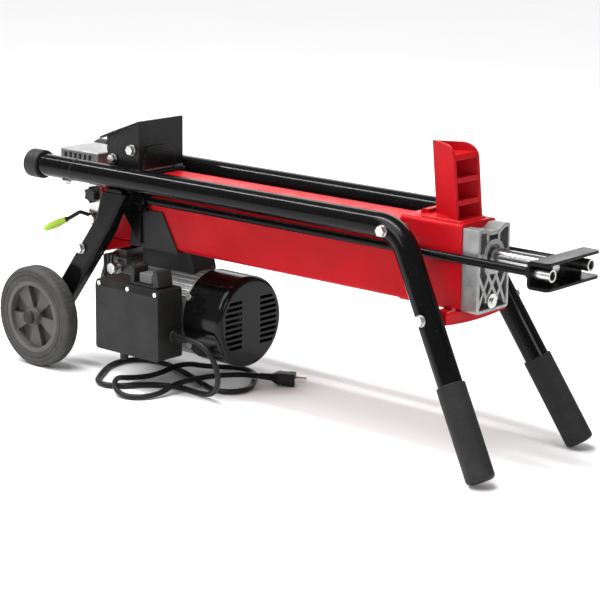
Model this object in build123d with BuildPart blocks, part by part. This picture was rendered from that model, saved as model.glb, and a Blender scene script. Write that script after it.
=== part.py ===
# Horizontal electric log splitter: a hydraulic ram inside a steel beam pulls a pusher toward a fixed wedge.
# Millimetres. X runs along the beam toward the yoke end, Y across, Z up from the floor.
# "near" pieces stand on the -Y side and "far" pieces on the +Y side.
from build123d import *
import math
import os

os.makedirs("parts", exist_ok=True)

# ---------------------------------------------------------------- driving dimensions
NEAR, FAR = -1, 1

# Beam: a rectangular steel tube that is also the oil tank, with a thicker head at the front
BEAM_REAR, BEAM_FRONT = -360, 349
BEAM_WIDTH, BEAM_BOTTOM, BEAM_TOP, BEAM_WALL = 72, 207, 317, 3.5
HEAD_REAR, HEAD_WIDTH, HEAD_BOTTOM, HEAD_TOP = 244, 77, 206, 326
CORNER_R = 6

# Wedge: hollow V-shaped casting that leans toward the pusher
WEDGE_EDGE_X, WEDGE_BACK_X, WEDGE_HALF_WIDTH = 276.5, 333.5, 28.5
WEDGE_TOP, WEDGE_LEAN, WEDGE_WALL = 427, 0.1, 4.2
WEDGE_POCKETS = ((327.5, 346.5), (353.5, 377), (384, 407.5))
WEDGE_SCOOP_FLOOR, WEDGE_TOP_R = 415, 22

# Ram: cylinder, piston, rod and the yoke that pulls the two tie rods
RAM_Z, RAM_STROKE = 281, 375
CYL_OD, CYL_BORE, CYL_REAR, CYL_CLOSED_END = 60, 50, -172, 12
CAP_FRONT, CAP_WIDTH, CAP_BOTTOM, CAP_PLATE = 376, 72, 205, 9
CAP_TOP_PROFILE = ((-36, 321), (-20, 321), (-9, 316.5), (10, 316.5), (22, 323), (36, 323))
ROD_D, ROD_REAR_D, ROD_THREAD_D, RUN_GAP = 25, 18, 16, 0.05
PISTON_REAR, PISTON_LENGTH = -158, 25
BUSH_OD = 34
YOKE_BACK, YOKE_FRONT, YOKE_HALF, YOKE_HEIGHT, YOKE_PLATE = 472, 505, 61, 38, 4
TIE_ROD_D, TIE_ROD_Y, TIE_ROD_REAR, TIE_ROD_FRONT = 12, 45, -266, 490
SLEEVE_OD, SLEEVE_LENGTH = 17, 25

# Pusher: a slide that straddles the beam, and the bent plate bolted to it
SLIDE_REAR, SLIDE_FRONT, SLIDE_TOP = -345, -247, 322
SLIDE_IN, SLIDE_OUT = 39.6, 43.6
LUG_X, LUG_OUT = -256, 52
PUSH_FACE, PUSH_PLATE, PUSH_TOP, PUSH_HALF = -258, 4, 400, 47.6
PUSHER_BOLTS = ((-273, 355), (-314, 337))
# Raised pad that bears on the log's end: (Y, Z) outline
PUSH_PAD = ((-43, 323.5), (-31, 360), (11, 360), (26, 346), (30, 323.5))

# Guard rails: one tube each, bent down and outward into a front leg
TUBE_D, TUBE_WALL, RAIL_Y, RAIL_Z, RAIL_REAR = 35, 2, 71, 315, -470
KNEE_X, KNEE_R = 269.4, 62
FOOT_X, FOOT_Y = 455.6, 117.7
GRIP_D, GRIP_LENGTH, GRIP_END_R, GRIP_FLOOR = 40.5, 134, 6, 5
END_CAP_D, END_CAP_LENGTH, END_CAP_WALL = 45, 28, 3

# Rear legs, axle and wheels
AXLE_X, AXLE_Z, AXLE_D = -425, 80, 12
LEG_Y, LEG_THICK, LEG_WIDTH = 72, 24, 36
LEG_NECK, LEG_CROWN_X, LEG_TOP_Z = (-305, 239), -282.5, 291
CROWN_WIDTH, CROWN_THICK = 55, 18
# Weld pad between the leg's crown and the rail: half length, half width, top
CROWN_PAD = (18, 6, 297)
WHEEL_D, WHEEL_Y, WHEEL_WIDTH, TYRE_INNER_D = 160, 109, 30, 116
HUB_BORE_D, HUB_BOSS_D, SPOKES = 12.1, 27, 5

# Cross brackets between the beam and the legs
FRONT_BRACKET_BOTTOM, FRONT_BRACKET_HALF = 188.5, 68
REAR_BRACKET_X, REAR_BRACKET_Z = (-363, -332), (184, 206)
# Slanted block of the rear bracket that the pump hangs from: (X, Z) outline
PUMP_FOOT = ((-360, 181), (-291, 200.5), (-291, 207), (-360, 207))
PLATE = 3

# Motor and pump, hung under the rear of the beam on one axis
MOTOR_Z, MOTOR_R, MOTOR_WALL = 111.6, 66.5, 5
MOTOR_REAR, MOTOR_FRONT = -284, -135
FAN_COVER_R, FAN_COVER_FRONT, FAN_COVER_REAR, COVER_WALL = 70, -68, -133, 2.5
SHAFT_D, BEARING_OD, BEARING_WIDTH = 14, 30, 10
PUMP_REAR, PUMP_SPLIT, PUMP_TOP, PUMP_BOTTOM, PUMP_HALF = -350, -322, 180, 62, 38
PUMP_NECK_X, PUMP_NECK_TOP = (-322, -306), 191.4
GEAR_TEETH, GEAR_MODULE, GEAR_WIDTH = 12, 2.4, 20
GEAR_CENTRES = GEAR_TEETH * GEAR_MODULE

# Switch box on the near side of the motor
BOX_X, BOX_Y, BOX_Z = (-283, -148), (-114, -67), (56, 165)
BOX_FRONT_Y, BOX_WALL = -118, 3
BOX_SCREWS_X, BOX_SCREW_DROP, BOX_BEVEL = (-275, -213, -155), 6, (3, 10)
SWITCH_X, SWITCH_Y = -188, -93
CORD_EXIT, CORD_D = (-116, -88, 92), 8.4
CORD_GLAND_D, CORD_RELIEF_D = 16, 12

# Control lever and bleed screw on the valve block
VALVE_BLOCK = (-450, -360, 296, 338)
LEVER_PIVOT_X, LEVER_PIVOT_Z, LEVER_Y = -356, 237, -48
BLEED_X, BLEED_Z = -364, 274
SPOOL_X, SPOOL_Y, SPOOL_D = -370, -12, 10

BOLT_D, BOLT_HEAD_AF, BOLT_HEAD_H, BOLT_FLANGE = 8, 13, 5.5, 1.6
HOLE_D = 8.4


# ---------------------------------------------------------------- helpers
def square_to_x(x):
    """Sketch plane at a station along the beam, drawn in (Y, Z)."""
    return Plane.YZ.offset(x)


def square_to_y(y):
    """Sketch plane at a distance across the beam, drawn in (X, Z)."""
    return Plane.XZ.offset(-y)


def finish(piece, label):
    """Label a finished piece and write its STEP file."""
    piece.part.label = label
    export_step(piece.part, f"parts/{label}.step")


def polygon(*points, mode=Mode.ADD):
    """Straight-sided face through the points, repeated at the current locations."""
    Polygon(*points, align=None, mode=mode)


def slab(x_range, y_range, z_range, mode=Mode.ADD):
    """Rectangular block between two limits on each axis."""
    width = x_range[1] - x_range[0]
    depth = y_range[1] - y_range[0]
    with BuildSketch(Plane.XY.offset(z_range[0])) as base:
        with Locations(((x_range[0] + x_range[1]) / 2, (y_range[0] + y_range[1]) / 2)):
            Rectangle(width, depth)
    extrude(base.sketch, amount=z_range[1] - z_range[0], mode=mode)


def rod(plane, diameter, length, mode=Mode.ADD):
    """Round bar standing on a plane along its normal."""
    with BuildSketch(plane) as disc:
        Circle(diameter / 2)
    extrude(disc.sketch, amount=length, mode=mode)


def hole_across(x, z, diameter=HOLE_D, reach=200):
    """Round hole right through the piece along Y."""
    with BuildSketch(square_to_y(0)) as disc:
        with Locations((x, z)):
            Circle(diameter / 2)
    extrude(disc.sketch, amount=reach, both=True, mode=Mode.SUBTRACT)


def hex_bolt(seat, length, shank=BOLT_D, across_flats=BOLT_HEAD_AF, head=BOLT_HEAD_H):
    """Flanged hex bolt whose head stands on the seat plane and whose shank goes below it."""
    rod(seat, across_flats * 1.28, BOLT_FLANGE)
    with BuildSketch(seat.offset(BOLT_FLANGE)) as hexagon:
        RegularPolygon(across_flats / 2, 6, major_radius=False)
    extrude(hexagon.sketch, amount=head)
    rod(seat, shank, -length)


def hex_nut(seat, bore, across_flats, height):
    """Hex nut standing on the seat plane."""
    with BuildSketch(seat) as hexagon:
        RegularPolygon(across_flats / 2, 6, major_radius=False)
        Circle(bore / 2, mode=Mode.SUBTRACT)
    extrude(hexagon.sketch, amount=height)


def seat_facing(side, x, y, z):
    """Plane whose normal points outward across the beam on the given side."""
    return Plane(origin=(x, side * y, z), x_dir=(1, 0, 0), z_dir=(0, side, 0))


# Lines worked out once from the driving dimensions
leg_down = Vector(FOOT_X - KNEE_X, FOOT_Y - RAIL_Y, -RAIL_Z).normalized()
LEG_TILT_COS = -leg_down.Z
LEG_TILT_SIN = math.sqrt(1 - LEG_TILT_COS**2)
# Height of the grip's end centre that brings its rounded lower rim exactly to the floor
GRIP_END_Z = GRIP_D / 2 * LEG_TILT_SIN - GRIP_END_R * (LEG_TILT_COS + LEG_TILT_SIN - 1)


def leg_point(side, z):
    """Point of a front leg's centre line at a height."""
    share = (RAIL_Z - z) / RAIL_Z
    return Vector(KNEE_X + share * (FOOT_X - KNEE_X), side * (RAIL_Y + share * (FOOT_Y - RAIL_Y)), z)


LEG_BOLT_Z = 203.5
LEG_BOLT_X = leg_point(FAR, LEG_BOLT_Z).X
LEG_BOLT_SEAT = leg_point(FAR, LEG_BOLT_Z).Y + TUBE_D / 2 + 0.6
RAIL_BOLT_X, RAIL_BOLT_Z, RAIL_BOLT_SEAT = 254, 311.6, RAIL_Y + TUBE_D / 2 + 1.3
SEAT_D = 22
RAIL_STUB_X = -395
rear_slope = (LEG_NECK[0] - AXLE_X) / (LEG_NECK[1] - AXLE_Z)
# The rear bolt sits toward the rear edge of the leg, where the bar between the legs is
REAR_BOLT_Z, REAR_BOLT_SHIFT = 196, -13
REAR_BOLT_X = AXLE_X + rear_slope * (REAR_BOLT_Z - AXLE_Z) + REAR_BOLT_SHIFT
SADDLE_X = (-290, -183)
SADDLE_TOP_X = (-279, -218)
SADDLE_TOP_Z = 264
SADDLE_BLOCK = ((-275, 165), (-275, 207), (-172, 207), (-164, 180), (-164, 165))


# ---------------------------------------------------------------- beam, wedge and end cap
with BuildPart() as beam_housing:
    with BuildSketch(square_to_x(BEAM_REAR)):
        with Locations((0, (BEAM_TOP + BEAM_BOTTOM) / 2)):
            RectangleRounded(BEAM_WIDTH, BEAM_TOP - BEAM_BOTTOM, CORNER_R)
    extrude(amount=BEAM_FRONT - BEAM_REAR)
    with BuildSketch(square_to_x(HEAD_REAR)):
        with Locations((0, (HEAD_TOP + HEAD_BOTTOM) / 2)):
            RectangleRounded(HEAD_WIDTH, HEAD_TOP - HEAD_BOTTOM, CORNER_R)
    extrude(amount=BEAM_FRONT - HEAD_REAR)
    with BuildSketch(square_to_x(BEAM_REAR + BEAM_WALL)):
        with Locations((0, (BEAM_TOP + BEAM_BOTTOM) / 2)):
            RectangleRounded(BEAM_WIDTH - 2 * BEAM_WALL, BEAM_TOP - BEAM_BOTTOM - 2 * BEAM_WALL, 3)
    extrude(amount=BEAM_FRONT - BEAM_REAR, mode=Mode.SUBTRACT)
    hole_across(RAIL_BOLT_X, RAIL_BOLT_Z)
finish(beam_housing, "beam_housing")


def wedge_plan(z, inset, back):
    """V outline of the wedge at a height, drawn in inward by a wall thickness and cut off at `back`."""
    slant = math.atan2(WEDGE_HALF_WIDTH, WEDGE_BACK_X - WEDGE_EDGE_X)
    lean = WEDGE_LEAN * (z - HEAD_TOP)
    nose = WEDGE_EDGE_X - lean + inset / math.sin(slant)
    half = (back - lean - nose) * math.tan(slant)
    return ((nose, 0), (back - lean, half), (back - lean, -half))


def wedge_prism(z_low, z_high, inset, back, mode=Mode.ADD):
    """Leaning V prism between two heights."""
    sections = []
    for z in (z_low, z_high):
        with BuildSketch(Plane.XY.offset(z)) as section:
            polygon(*wedge_plan(z, inset, back))
        sections.append(section.sketch)
    loft(sections, mode=mode)


with BuildPart() as wedge:
    wedge_prism(HEAD_TOP, WEDGE_TOP, 0, WEDGE_BACK_X)
    rear_top = wedge.edges().filter_by(Axis.Y).sort_by(Axis.Z)[-1]
    fillet(rear_top, WEDGE_TOP_R)
    for low, high in WEDGE_POCKETS:
        wedge_prism(low, high, WEDGE_WALL, WEDGE_BACK_X + 4, mode=Mode.SUBTRACT)
    wedge_prism(WEDGE_SCOOP_FLOOR, WEDGE_TOP + 5, WEDGE_WALL, WEDGE_BACK_X + 4, mode=Mode.SUBTRACT)
    with BuildSketch(Plane.XY.offset(HEAD_TOP)):
        with Locations((305, 0)):
            RectangleRounded(76, 60, 9)
    extrude(amount=2, taper=45)
    slab((258, 272), (-11, 20), (HEAD_TOP, HEAD_TOP + 7))
    fillet(wedge.faces().filter_by(Axis.Z).sort_by(Axis.X)[0].edges().sort_by(Axis.X)[0], 5)
finish(wedge, "wedge")

CAP_BOSS_D, CAP_RIM, CAP_RIB = 48, 5, 4.8
CAP_DEPTH = CAP_FRONT - BEAM_FRONT
DRAIN_Z = 219


def cap_rib(start, end):
    """Straight stiffening rib of the end cap between two (Y, Z) points."""
    mid = ((start[0] + end[0]) / 2, (start[1] + end[1]) / 2)
    span = math.dist(start, end)
    angle = math.degrees(math.atan2(end[1] - start[1], end[0] - start[0]))
    with BuildSketch(square_to_x(BEAM_FRONT)) as bar:
        with Locations(Location((mid[0], mid[1], 0), (0, 0, angle))):
            Rectangle(span, CAP_RIB)
    extrude(bar.sketch, amount=CAP_DEPTH - 2)


with BuildPart() as end_cap:
    half = CAP_WIDTH / 2
    outline = ((-half, CAP_BOTTOM), *CAP_TOP_PROFILE, (half, CAP_BOTTOM))
    with BuildSketch(square_to_x(BEAM_FRONT)):
        polygon(*outline)
    extrude(amount=CAP_DEPTH)
    fillet(end_cap.edges().filter_by(Axis.X).group_by(Axis.Z)[0], 6)
    fillet(end_cap.edges().filter_by(Axis.X).group_by(Axis.Z)[-1], 4)
    fillet(end_cap.faces().sort_by(Axis.X)[-1].edges(), 1.8)
    with BuildSketch(square_to_x(BEAM_FRONT + CAP_PLATE)):
        polygon(*outline)
        offset(amount=-CAP_RIM)
    extrude(amount=CAP_DEPTH, mode=Mode.SUBTRACT)
    with BuildSketch(square_to_x(BEAM_FRONT)):
        with Locations((0, RAM_Z)):
            Circle(CAP_BOSS_D / 2)
    extrude(amount=CAP_DEPTH)
    for top in ((-13, 316), (13, 318)):
        cap_rib((top[0] * 0.9, RAM_Z + 17), top)
    for side in (NEAR, FAR):
        cap_rib((side * 20, RAM_Z + 4), (side * 33, RAM_Z + 4))
        cap_rib((side * 5, RAM_Z - 20), (side * 32, CAP_BOTTOM + 5))
        cap_rib((side * 18, RAM_Z - 12), (-side * 14, CAP_BOTTOM + 14))
        cap_rib((side * 32, RAM_Z - 22), (side * 9, DRAIN_Z))
    with BuildSketch(square_to_x(BEAM_FRONT)):
        with Locations((0, DRAIN_Z)):
            Circle(11)
    extrude(amount=CAP_DEPTH - 6)
    with BuildSketch(square_to_x(BEAM_FRONT)):
        with Locations((0, RAM_Z)):
            Circle(BUSH_OD / 2)
        with Locations((0, DRAIN_Z)):
            Circle(HOLE_D / 2)
    extrude(amount=CAP_DEPTH, mode=Mode.SUBTRACT)
    rod(Plane(origin=(CAP_FRONT - 6, 0, DRAIN_Z), z_dir=(1, 0, 0)), 22, 8, mode=Mode.SUBTRACT)
finish(end_cap, "end_cap")

with BuildPart() as rod_bush:
    with BuildSketch(square_to_x(BEAM_FRONT)):
        with Locations((0, RAM_Z)):
            Circle(BUSH_OD / 2)
            Circle(ROD_D / 2 + RUN_GAP, mode=Mode.SUBTRACT)
    extrude(amount=CAP_DEPTH - 3)
finish(rod_bush, "rod_bush")

with BuildPart() as oil_drain_plug:
    drain_seat = Plane(origin=(CAP_FRONT - 6, 0, DRAIN_Z), z_dir=(1, 0, 0))
    rod(drain_seat, 21, 5.4)
    rod(drain_seat.offset(5.4), 8, 3.2)
    rod(drain_seat, BOLT_D, -18)
finish(oil_drain_plug, "oil_drain_plug")

# ---------------------------------------------------------------- cylinder and ram
ram_axis_rear = Plane(origin=(CYL_REAR, 0, RAM_Z), z_dir=(1, 0, 0))

with BuildPart() as cylinder_tube:
    rod(ram_axis_rear, CYL_OD, BEAM_FRONT - CYL_REAR)
    bore_plane = ram_axis_rear.offset(CYL_CLOSED_END)
    rod(bore_plane, CYL_BORE, BEAM_FRONT - CYL_REAR, mode=Mode.SUBTRACT)
finish(cylinder_tube, "cylinder_tube")

SEAL_WIDTH, SEAL_INNER_D = 5, 43
piston_rear = Plane(origin=(PISTON_REAR, 0, RAM_Z), z_dir=(1, 0, 0))
seal_plane = piston_rear.offset((PISTON_LENGTH - SEAL_WIDTH) / 2)

with BuildPart() as piston:
    rod(piston_rear, CYL_BORE - 2 * RUN_GAP, PISTON_LENGTH)
    with BuildSketch(seal_plane):
        Circle(CYL_BORE)
        Circle(SEAL_INNER_D / 2, mode=Mode.SUBTRACT)
    extrude(amount=SEAL_WIDTH, mode=Mode.SUBTRACT)
    rod(piston_rear, ROD_REAR_D, PISTON_LENGTH, mode=Mode.SUBTRACT)
finish(piston, "piston")

with BuildPart() as piston_seal:
    with BuildSketch(seal_plane):
        Circle(CYL_BORE / 2 - RUN_GAP / 2)
        Circle(SEAL_INNER_D / 2, mode=Mode.SUBTRACT)
    extrude(amount=SEAL_WIDTH)
finish(piston_seal, "piston_seal")

ROD_FRONT = YOKE_BACK
with BuildPart() as piston_rod:
    rod(piston_rear, ROD_REAR_D, PISTON_LENGTH)
    rod(piston_rear.offset(PISTON_LENGTH), ROD_D, ROD_FRONT - PISTON_REAR - PISTON_LENGTH)
    rod(Plane(origin=(ROD_FRONT, 0, RAM_Z), z_dir=(1, 0, 0)), ROD_THREAD_D, YOKE_PLATE)
finish(piston_rod, "piston_rod")

SPRING_WIRE, SPRING_RADIUS, SPRING_TURNS = 3, 18.5, 22
SPRING_START = PISTON_REAR + PISTON_LENGTH + 2
SPRING_LENGTH = BEAM_FRONT - SPRING_START - 3
with BuildPart() as return_spring:
    with BuildLine() as spring_line:
        Helix(SPRING_LENGTH / SPRING_TURNS, SPRING_LENGTH, SPRING_RADIUS,
              center=(SPRING_START, 0, RAM_Z), direction=(1, 0, 0))
    with BuildSketch(Plane(origin=spring_line.line @ 0, z_dir=spring_line.line % 0)):
        Circle(SPRING_WIRE / 2)
    sweep(is_frenet=True)
finish(return_spring, "return_spring")

with BuildPart() as yoke:
    with BuildSketch(Plane.XZ):
        half_height = YOKE_HEIGHT / 2
        with Locations(((YOKE_BACK + YOKE_FRONT) / 2, RAM_Z)):
            Rectangle(YOKE_FRONT - YOKE_BACK, YOKE_HEIGHT)
        with Locations(((YOKE_BACK + YOKE_FRONT) / 2 + YOKE_PLATE, RAM_Z)):
            Rectangle(YOKE_FRONT - YOKE_BACK, YOKE_HEIGHT - 2 * YOKE_PLATE, mode=Mode.SUBTRACT)
    extrude(amount=YOKE_HALF, both=True)
    fillet(yoke.edges().filter_by(Axis.Y).group_by(Axis.X)[0], 6)
    chamfer(yoke.edges().filter_by(Axis.Z).group_by(Axis.X)[-1], 5)
    with BuildSketch(square_to_x(YOKE_BACK)):
        with Locations((0, RAM_Z)):
            Circle(ROD_THREAD_D / 2)
        with Locations((-TIE_ROD_Y, RAM_Z), (TIE_ROD_Y, RAM_Z)):
            Circle(TIE_ROD_D / 2)
    extrude(amount=YOKE_PLATE, mode=Mode.SUBTRACT)
finish(yoke, "yoke")

with BuildPart() as tie_rods:
    for side in (NEAR, FAR):
        rod(Plane(origin=(TIE_ROD_REAR, side * TIE_ROD_Y, RAM_Z), z_dir=(1, 0, 0)),
            TIE_ROD_D, TIE_ROD_FRONT - TIE_ROD_REAR)
finish(tie_rods, "tie_rods")

with BuildPart() as yoke_sleeve_nuts:
    with BuildSketch(square_to_x(YOKE_BACK + YOKE_PLATE)):
        with Locations((-TIE_ROD_Y, RAM_Z), (TIE_ROD_Y, RAM_Z)):
            Circle(SLEEVE_OD / 2)
            Circle(TIE_ROD_D / 2, mode=Mode.SUBTRACT)
    extrude(amount=SLEEVE_LENGTH)
finish(yoke_sleeve_nuts, "yoke_sleeve_nuts")

with BuildPart() as ram_nuts:
    for side in (NEAR, FAR):
        rod_line = Plane(origin=(YOKE_BACK, side * TIE_ROD_Y, RAM_Z), z_dir=(1, 0, 0))
        hex_nut(rod_line.offset(-7), TIE_ROD_D, 18, 7)
        hex_nut(rod_line.offset(LUG_X - YOKE_BACK - 9), TIE_ROD_D, 18, 9)
        hex_nut(rod_line.offset(LUG_X + 6 - YOKE_BACK), TIE_ROD_D, 18, 9)
finish(ram_nuts, "ram_nuts")

# ---------------------------------------------------------------- pusher
SLIDE_RIB = (37.7, 43.6)
with BuildPart() as pusher_slide:
    slab((SLIDE_REAR, SLIDE_FRONT), (-SLIDE_OUT, SLIDE_OUT), (BEAM_TOP + 0.4, SLIDE_TOP))
    chamfer(pusher_slide.edges().filter_by(Axis.Y).group_by(Axis.X)[-1].sort_by(Axis.Z)[-1:], 3)
    for side in (NEAR, FAR):
        with BuildSketch(square_to_y(side * (SLIDE_IN + SLIDE_OUT) / 2)):
            polygon((-322, SLIDE_TOP), (-322, 285), (-264, 211), (-259.5, 211), (-259.5, 257), (SLIDE_FRONT, 262),
                    (SLIDE_FRONT, SLIDE_TOP))
        extrude(amount=(SLIDE_OUT - SLIDE_IN) / 2, both=True)
        slab((LUG_X, LUG_X + 6), sorted((side * SLIDE_IN, side * LUG_OUT)), (266, 296))
        with BuildSketch(square_to_y(side * (SLIDE_RIB[0] + SLIDE_RIB[1]) / 2)):
            polygon((-325, SLIDE_TOP - 1), (-325, 348), (-275, 368), (PUSH_FACE - PUSH_PLATE, 368),
                    (PUSH_FACE - PUSH_PLATE, SLIDE_TOP - 1))
        extrude(amount=(SLIDE_RIB[1] - SLIDE_RIB[0]) / 2, both=True)
        rod(Plane(origin=(LUG_X - 20, side * TIE_ROD_Y, RAM_Z), z_dir=(1, 0, 0)), TIE_ROD_D, 40,
            mode=Mode.SUBTRACT)
        slab((LUG_X - 12, LUG_X), sorted((side * (SLIDE_IN - 1), side * LUG_OUT)),
             (RAM_Z - 11, RAM_Z + 11), mode=Mode.SUBTRACT)
        slab((LUG_X + 6, LUG_X + 16), sorted((side * (SLIDE_IN - 1), side * LUG_OUT)),
             (RAM_Z - 11, RAM_Z + 11), mode=Mode.SUBTRACT)
    for bolt_x, bolt_z in PUSHER_BOLTS:
        hole_across(bolt_x, bolt_z)
finish(pusher_slide, "pusher_slide")

WING_OUT = SLIDE_OUT + PUSH_PLATE
WING_REAR, WING_REAR_TOP = -328, 373
LIP, LIP_FRONT_X = 11, -264
with BuildPart() as pusher_plate:
    slab((PUSH_FACE - PUSH_PLATE, PUSH_FACE), (-PUSH_HALF, PUSH_HALF), (SLIDE_TOP, PUSH_TOP))
    with BuildSketch(square_to_x(PUSH_FACE)):
        polygon(*PUSH_PAD)
    extrude(amount=4)
    for side in (NEAR, FAR):
        with BuildSketch(square_to_y(side * (SLIDE_OUT + WING_OUT) / 2)):
            polygon((PUSH_FACE, SLIDE_TOP - 4), (PUSH_FACE, PUSH_TOP), (WING_REAR, WING_REAR_TOP),
                    (WING_REAR, 350), (WING_REAR + 8, SLIDE_TOP - 4))
        extrude(amount=PUSH_PLATE / 2, both=True)
        with BuildSketch(square_to_y(side * (WING_OUT + LIP / 2 - 2))):
            polygon((PUSH_FACE - 2, PUSH_TOP), (WING_REAR - 7, WING_REAR_TOP - 2.7), (WING_REAR - 7, WING_REAR_TOP - 5.9),
                    (PUSH_FACE - 2, PUSH_TOP - 3.2))
        extrude(amount=LIP / 2, both=True)
        with BuildSketch(Plane.XY.offset(WING_REAR_TOP - 12)):
            polygon((LIP_FRONT_X, side * WING_OUT), (WING_REAR + 10, side * (WING_OUT + LIP)),
                    (PUSH_FACE + 1, side * (WING_OUT + LIP)), (PUSH_FACE + 1, side * WING_OUT))
        extrude(amount=40, mode=Mode.SUBTRACT)
    for bolt_x, bolt_z in PUSHER_BOLTS:
        hole_across(bolt_x, bolt_z)
finish(pusher_plate, "pusher_plate")

with BuildPart() as pusher_bolts:
    for side in (NEAR, FAR):
        for bolt_x, bolt_z in PUSHER_BOLTS:
            hex_bolt(seat_facing(side, bolt_x, WING_OUT, bolt_z), WING_OUT - 30)
finish(pusher_bolts, "pusher_bolts")

# ---------------------------------------------------------------- guard rails and front legs
for side, label in ((NEAR, "guard_rail_near"), (FAR, "guard_rail_far")):
    with BuildPart() as guard_rail:
        with BuildLine() as rail_line:
            foot = leg_point(side, GRIP_END_Z) - Vector(leg_down.X, side * leg_down.Y, leg_down.Z) * GRIP_FLOOR
            FilletPolyline((RAIL_REAR, side * RAIL_Y, RAIL_Z), (KNEE_X, side * RAIL_Y, RAIL_Z), foot,
                           radius=KNEE_R)
        with BuildSketch(Plane(origin=rail_line.line @ 0, z_dir=rail_line.line % 0)):
            Circle(TUBE_D / 2)
            Circle(TUBE_D / 2 - TUBE_WALL, mode=Mode.SUBTRACT)
        sweep()
        for bolt_x, bolt_z in ((RAIL_BOLT_X, RAIL_BOLT_Z), (LEG_BOLT_X, LEG_BOLT_Z)):
            hole_across(bolt_x, bolt_z)
        rod(Plane(origin=(RAIL_STUB_X, side * RAIL_Y, RAIL_Z - TUBE_D)), HOLE_D, TUBE_D, mode=Mode.SUBTRACT)
        rod(seat_facing(side, LEG_BOLT_X, LEG_BOLT_SEAT, LEG_BOLT_Z), SEAT_D, 5, mode=Mode.SUBTRACT)
    finish(guard_rail, label)

with BuildPart() as rail_end_caps:
    for side in (NEAR, FAR):
        cap_back = Plane(origin=(RAIL_REAR - END_CAP_WALL, side * RAIL_Y, RAIL_Z), z_dir=(1, 0, 0))
        rod(cap_back, END_CAP_D, END_CAP_LENGTH)
    fillet(rail_end_caps.edges().filter_by(GeomType.CIRCLE), 2.5)
    for side in (NEAR, FAR):
        rod(Plane(origin=(RAIL_REAR, side * RAIL_Y, RAIL_Z), z_dir=(1, 0, 0)), TUBE_D, 60, mode=Mode.SUBTRACT)
finish(rail_end_caps, "rail_end_caps")

with BuildPart() as foot_grips:
    for side in (NEAR, FAR):
        up = Vector(-leg_down.X, -side * leg_down.Y, -leg_down.Z)
        rod(Plane(origin=leg_point(side, GRIP_END_Z), z_dir=up), GRIP_D, GRIP_LENGTH)
    rims = foot_grips.edges().filter_by(GeomType.CIRCLE).sort_by(Axis.Z)
    fillet(rims[:2], GRIP_END_R)
    fillet(rims[2:], 1.5)
    for side in (NEAR, FAR):
        up = Vector(-leg_down.X, -side * leg_down.Y, -leg_down.Z)
        tube_end = leg_point(side, GRIP_END_Z) + up * GRIP_FLOOR
        rod(Plane(origin=tube_end, z_dir=up), TUBE_D, GRIP_LENGTH, mode=Mode.SUBTRACT)
finish(foot_grips, "foot_grips")

with BuildPart() as front_cross_bracket:
    half = FRONT_BRACKET_HALF
    bracket_rear = LEG_BOLT_X - 16
    slab((bracket_rear, BEAM_FRONT), (-half, half), (HEAD_BOTTOM - PLATE, HEAD_BOTTOM))
    with BuildSketch(square_to_x(BEAM_FRONT - PLATE)):
        with BuildLine():
            Polyline((half, FRONT_BRACKET_BOTTOM + 4), (half, HEAD_BOTTOM), (-half, HEAD_BOTTOM),
                     (-half, FRONT_BRACKET_BOTTOM + 4))
            ThreePointArc((-half, FRONT_BRACKET_BOTTOM + 4), (0, FRONT_BRACKET_BOTTOM),
                          (half, FRONT_BRACKET_BOTTOM + 4))
        make_face()
    extrude(amount=PLATE)
    for side in (NEAR, FAR):
        slab((bracket_rear, BEAM_FRONT), sorted((side * half, side * (half - PLATE))),
             (FRONT_BRACKET_BOTTOM + 4, HEAD_BOTTOM + 5))
    hole_across(LEG_BOLT_X, LEG_BOLT_Z)
finish(front_cross_bracket, "front_cross_bracket")

# ---------------------------------------------------------------- rear legs, axle and wheels
REAR_LEG_IN = LEG_Y - LEG_THICK / 2
leg_axis = Vector(LEG_NECK[0] - AXLE_X, 0, LEG_NECK[1] - AXLE_Z).normalized()

for side, label in ((NEAR, "rear_leg_near"), (FAR, "rear_leg_far")):
    with BuildPart() as rear_leg:
        foot_plane = Plane(origin=(AXLE_X, side * LEG_Y, AXLE_Z), x_dir=(0, 1, 0), z_dir=leg_axis)
        leg_length = math.dist((AXLE_X, AXLE_Z), LEG_NECK)
        with BuildSketch(foot_plane):
            RectangleRounded(LEG_THICK, LEG_WIDTH, 7)
        extrude(amount=leg_length)
        with BuildSketch(foot_plane.offset(leg_length)):
            RectangleRounded(LEG_THICK, LEG_WIDTH, 7)
        with BuildSketch(Plane(origin=(LEG_CROWN_X, side * LEG_Y, LEG_TOP_Z), x_dir=(0, 1, 0), z_dir=(0, 0, 1))):
            RectangleRounded(CROWN_THICK, CROWN_WIDTH, 8)
        loft()
        pad_x, pad_y, pad_top = CROWN_PAD
        slab((LEG_CROWN_X - pad_x, LEG_CROWN_X + pad_x), (side * LEG_Y - pad_y, side * LEG_Y + pad_y),
             (LEG_TOP_Z - 1, pad_top))
        rod(Plane(origin=(AXLE_X, side * REAR_LEG_IN, AXLE_Z), z_dir=(0, side, 0)), 38, LEG_THICK)
        hole_across(AXLE_X, AXLE_Z, AXLE_D)
        hole_across(REAR_BOLT_X, REAR_BOLT_Z)
    finish(rear_leg, label)

with BuildPart() as rear_cross_bracket:
    slab((REAR_BRACKET_X[0], BEAM_REAR), (-REAR_LEG_IN, REAR_LEG_IN), REAR_BRACKET_Z)
    for side in (NEAR, FAR):
        slab(REAR_BRACKET_X, sorted((side * REAR_LEG_IN, side * (REAR_LEG_IN - PLATE))), REAR_BRACKET_Z)
    with BuildSketch(Plane.XZ):
        polygon(*PUMP_FOOT)
    extrude(amount=BEAM_WIDTH / 2, both=True)
    hole_across(REAR_BOLT_X, REAR_BOLT_Z)
finish(rear_cross_bracket, "rear_cross_bracket")

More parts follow.
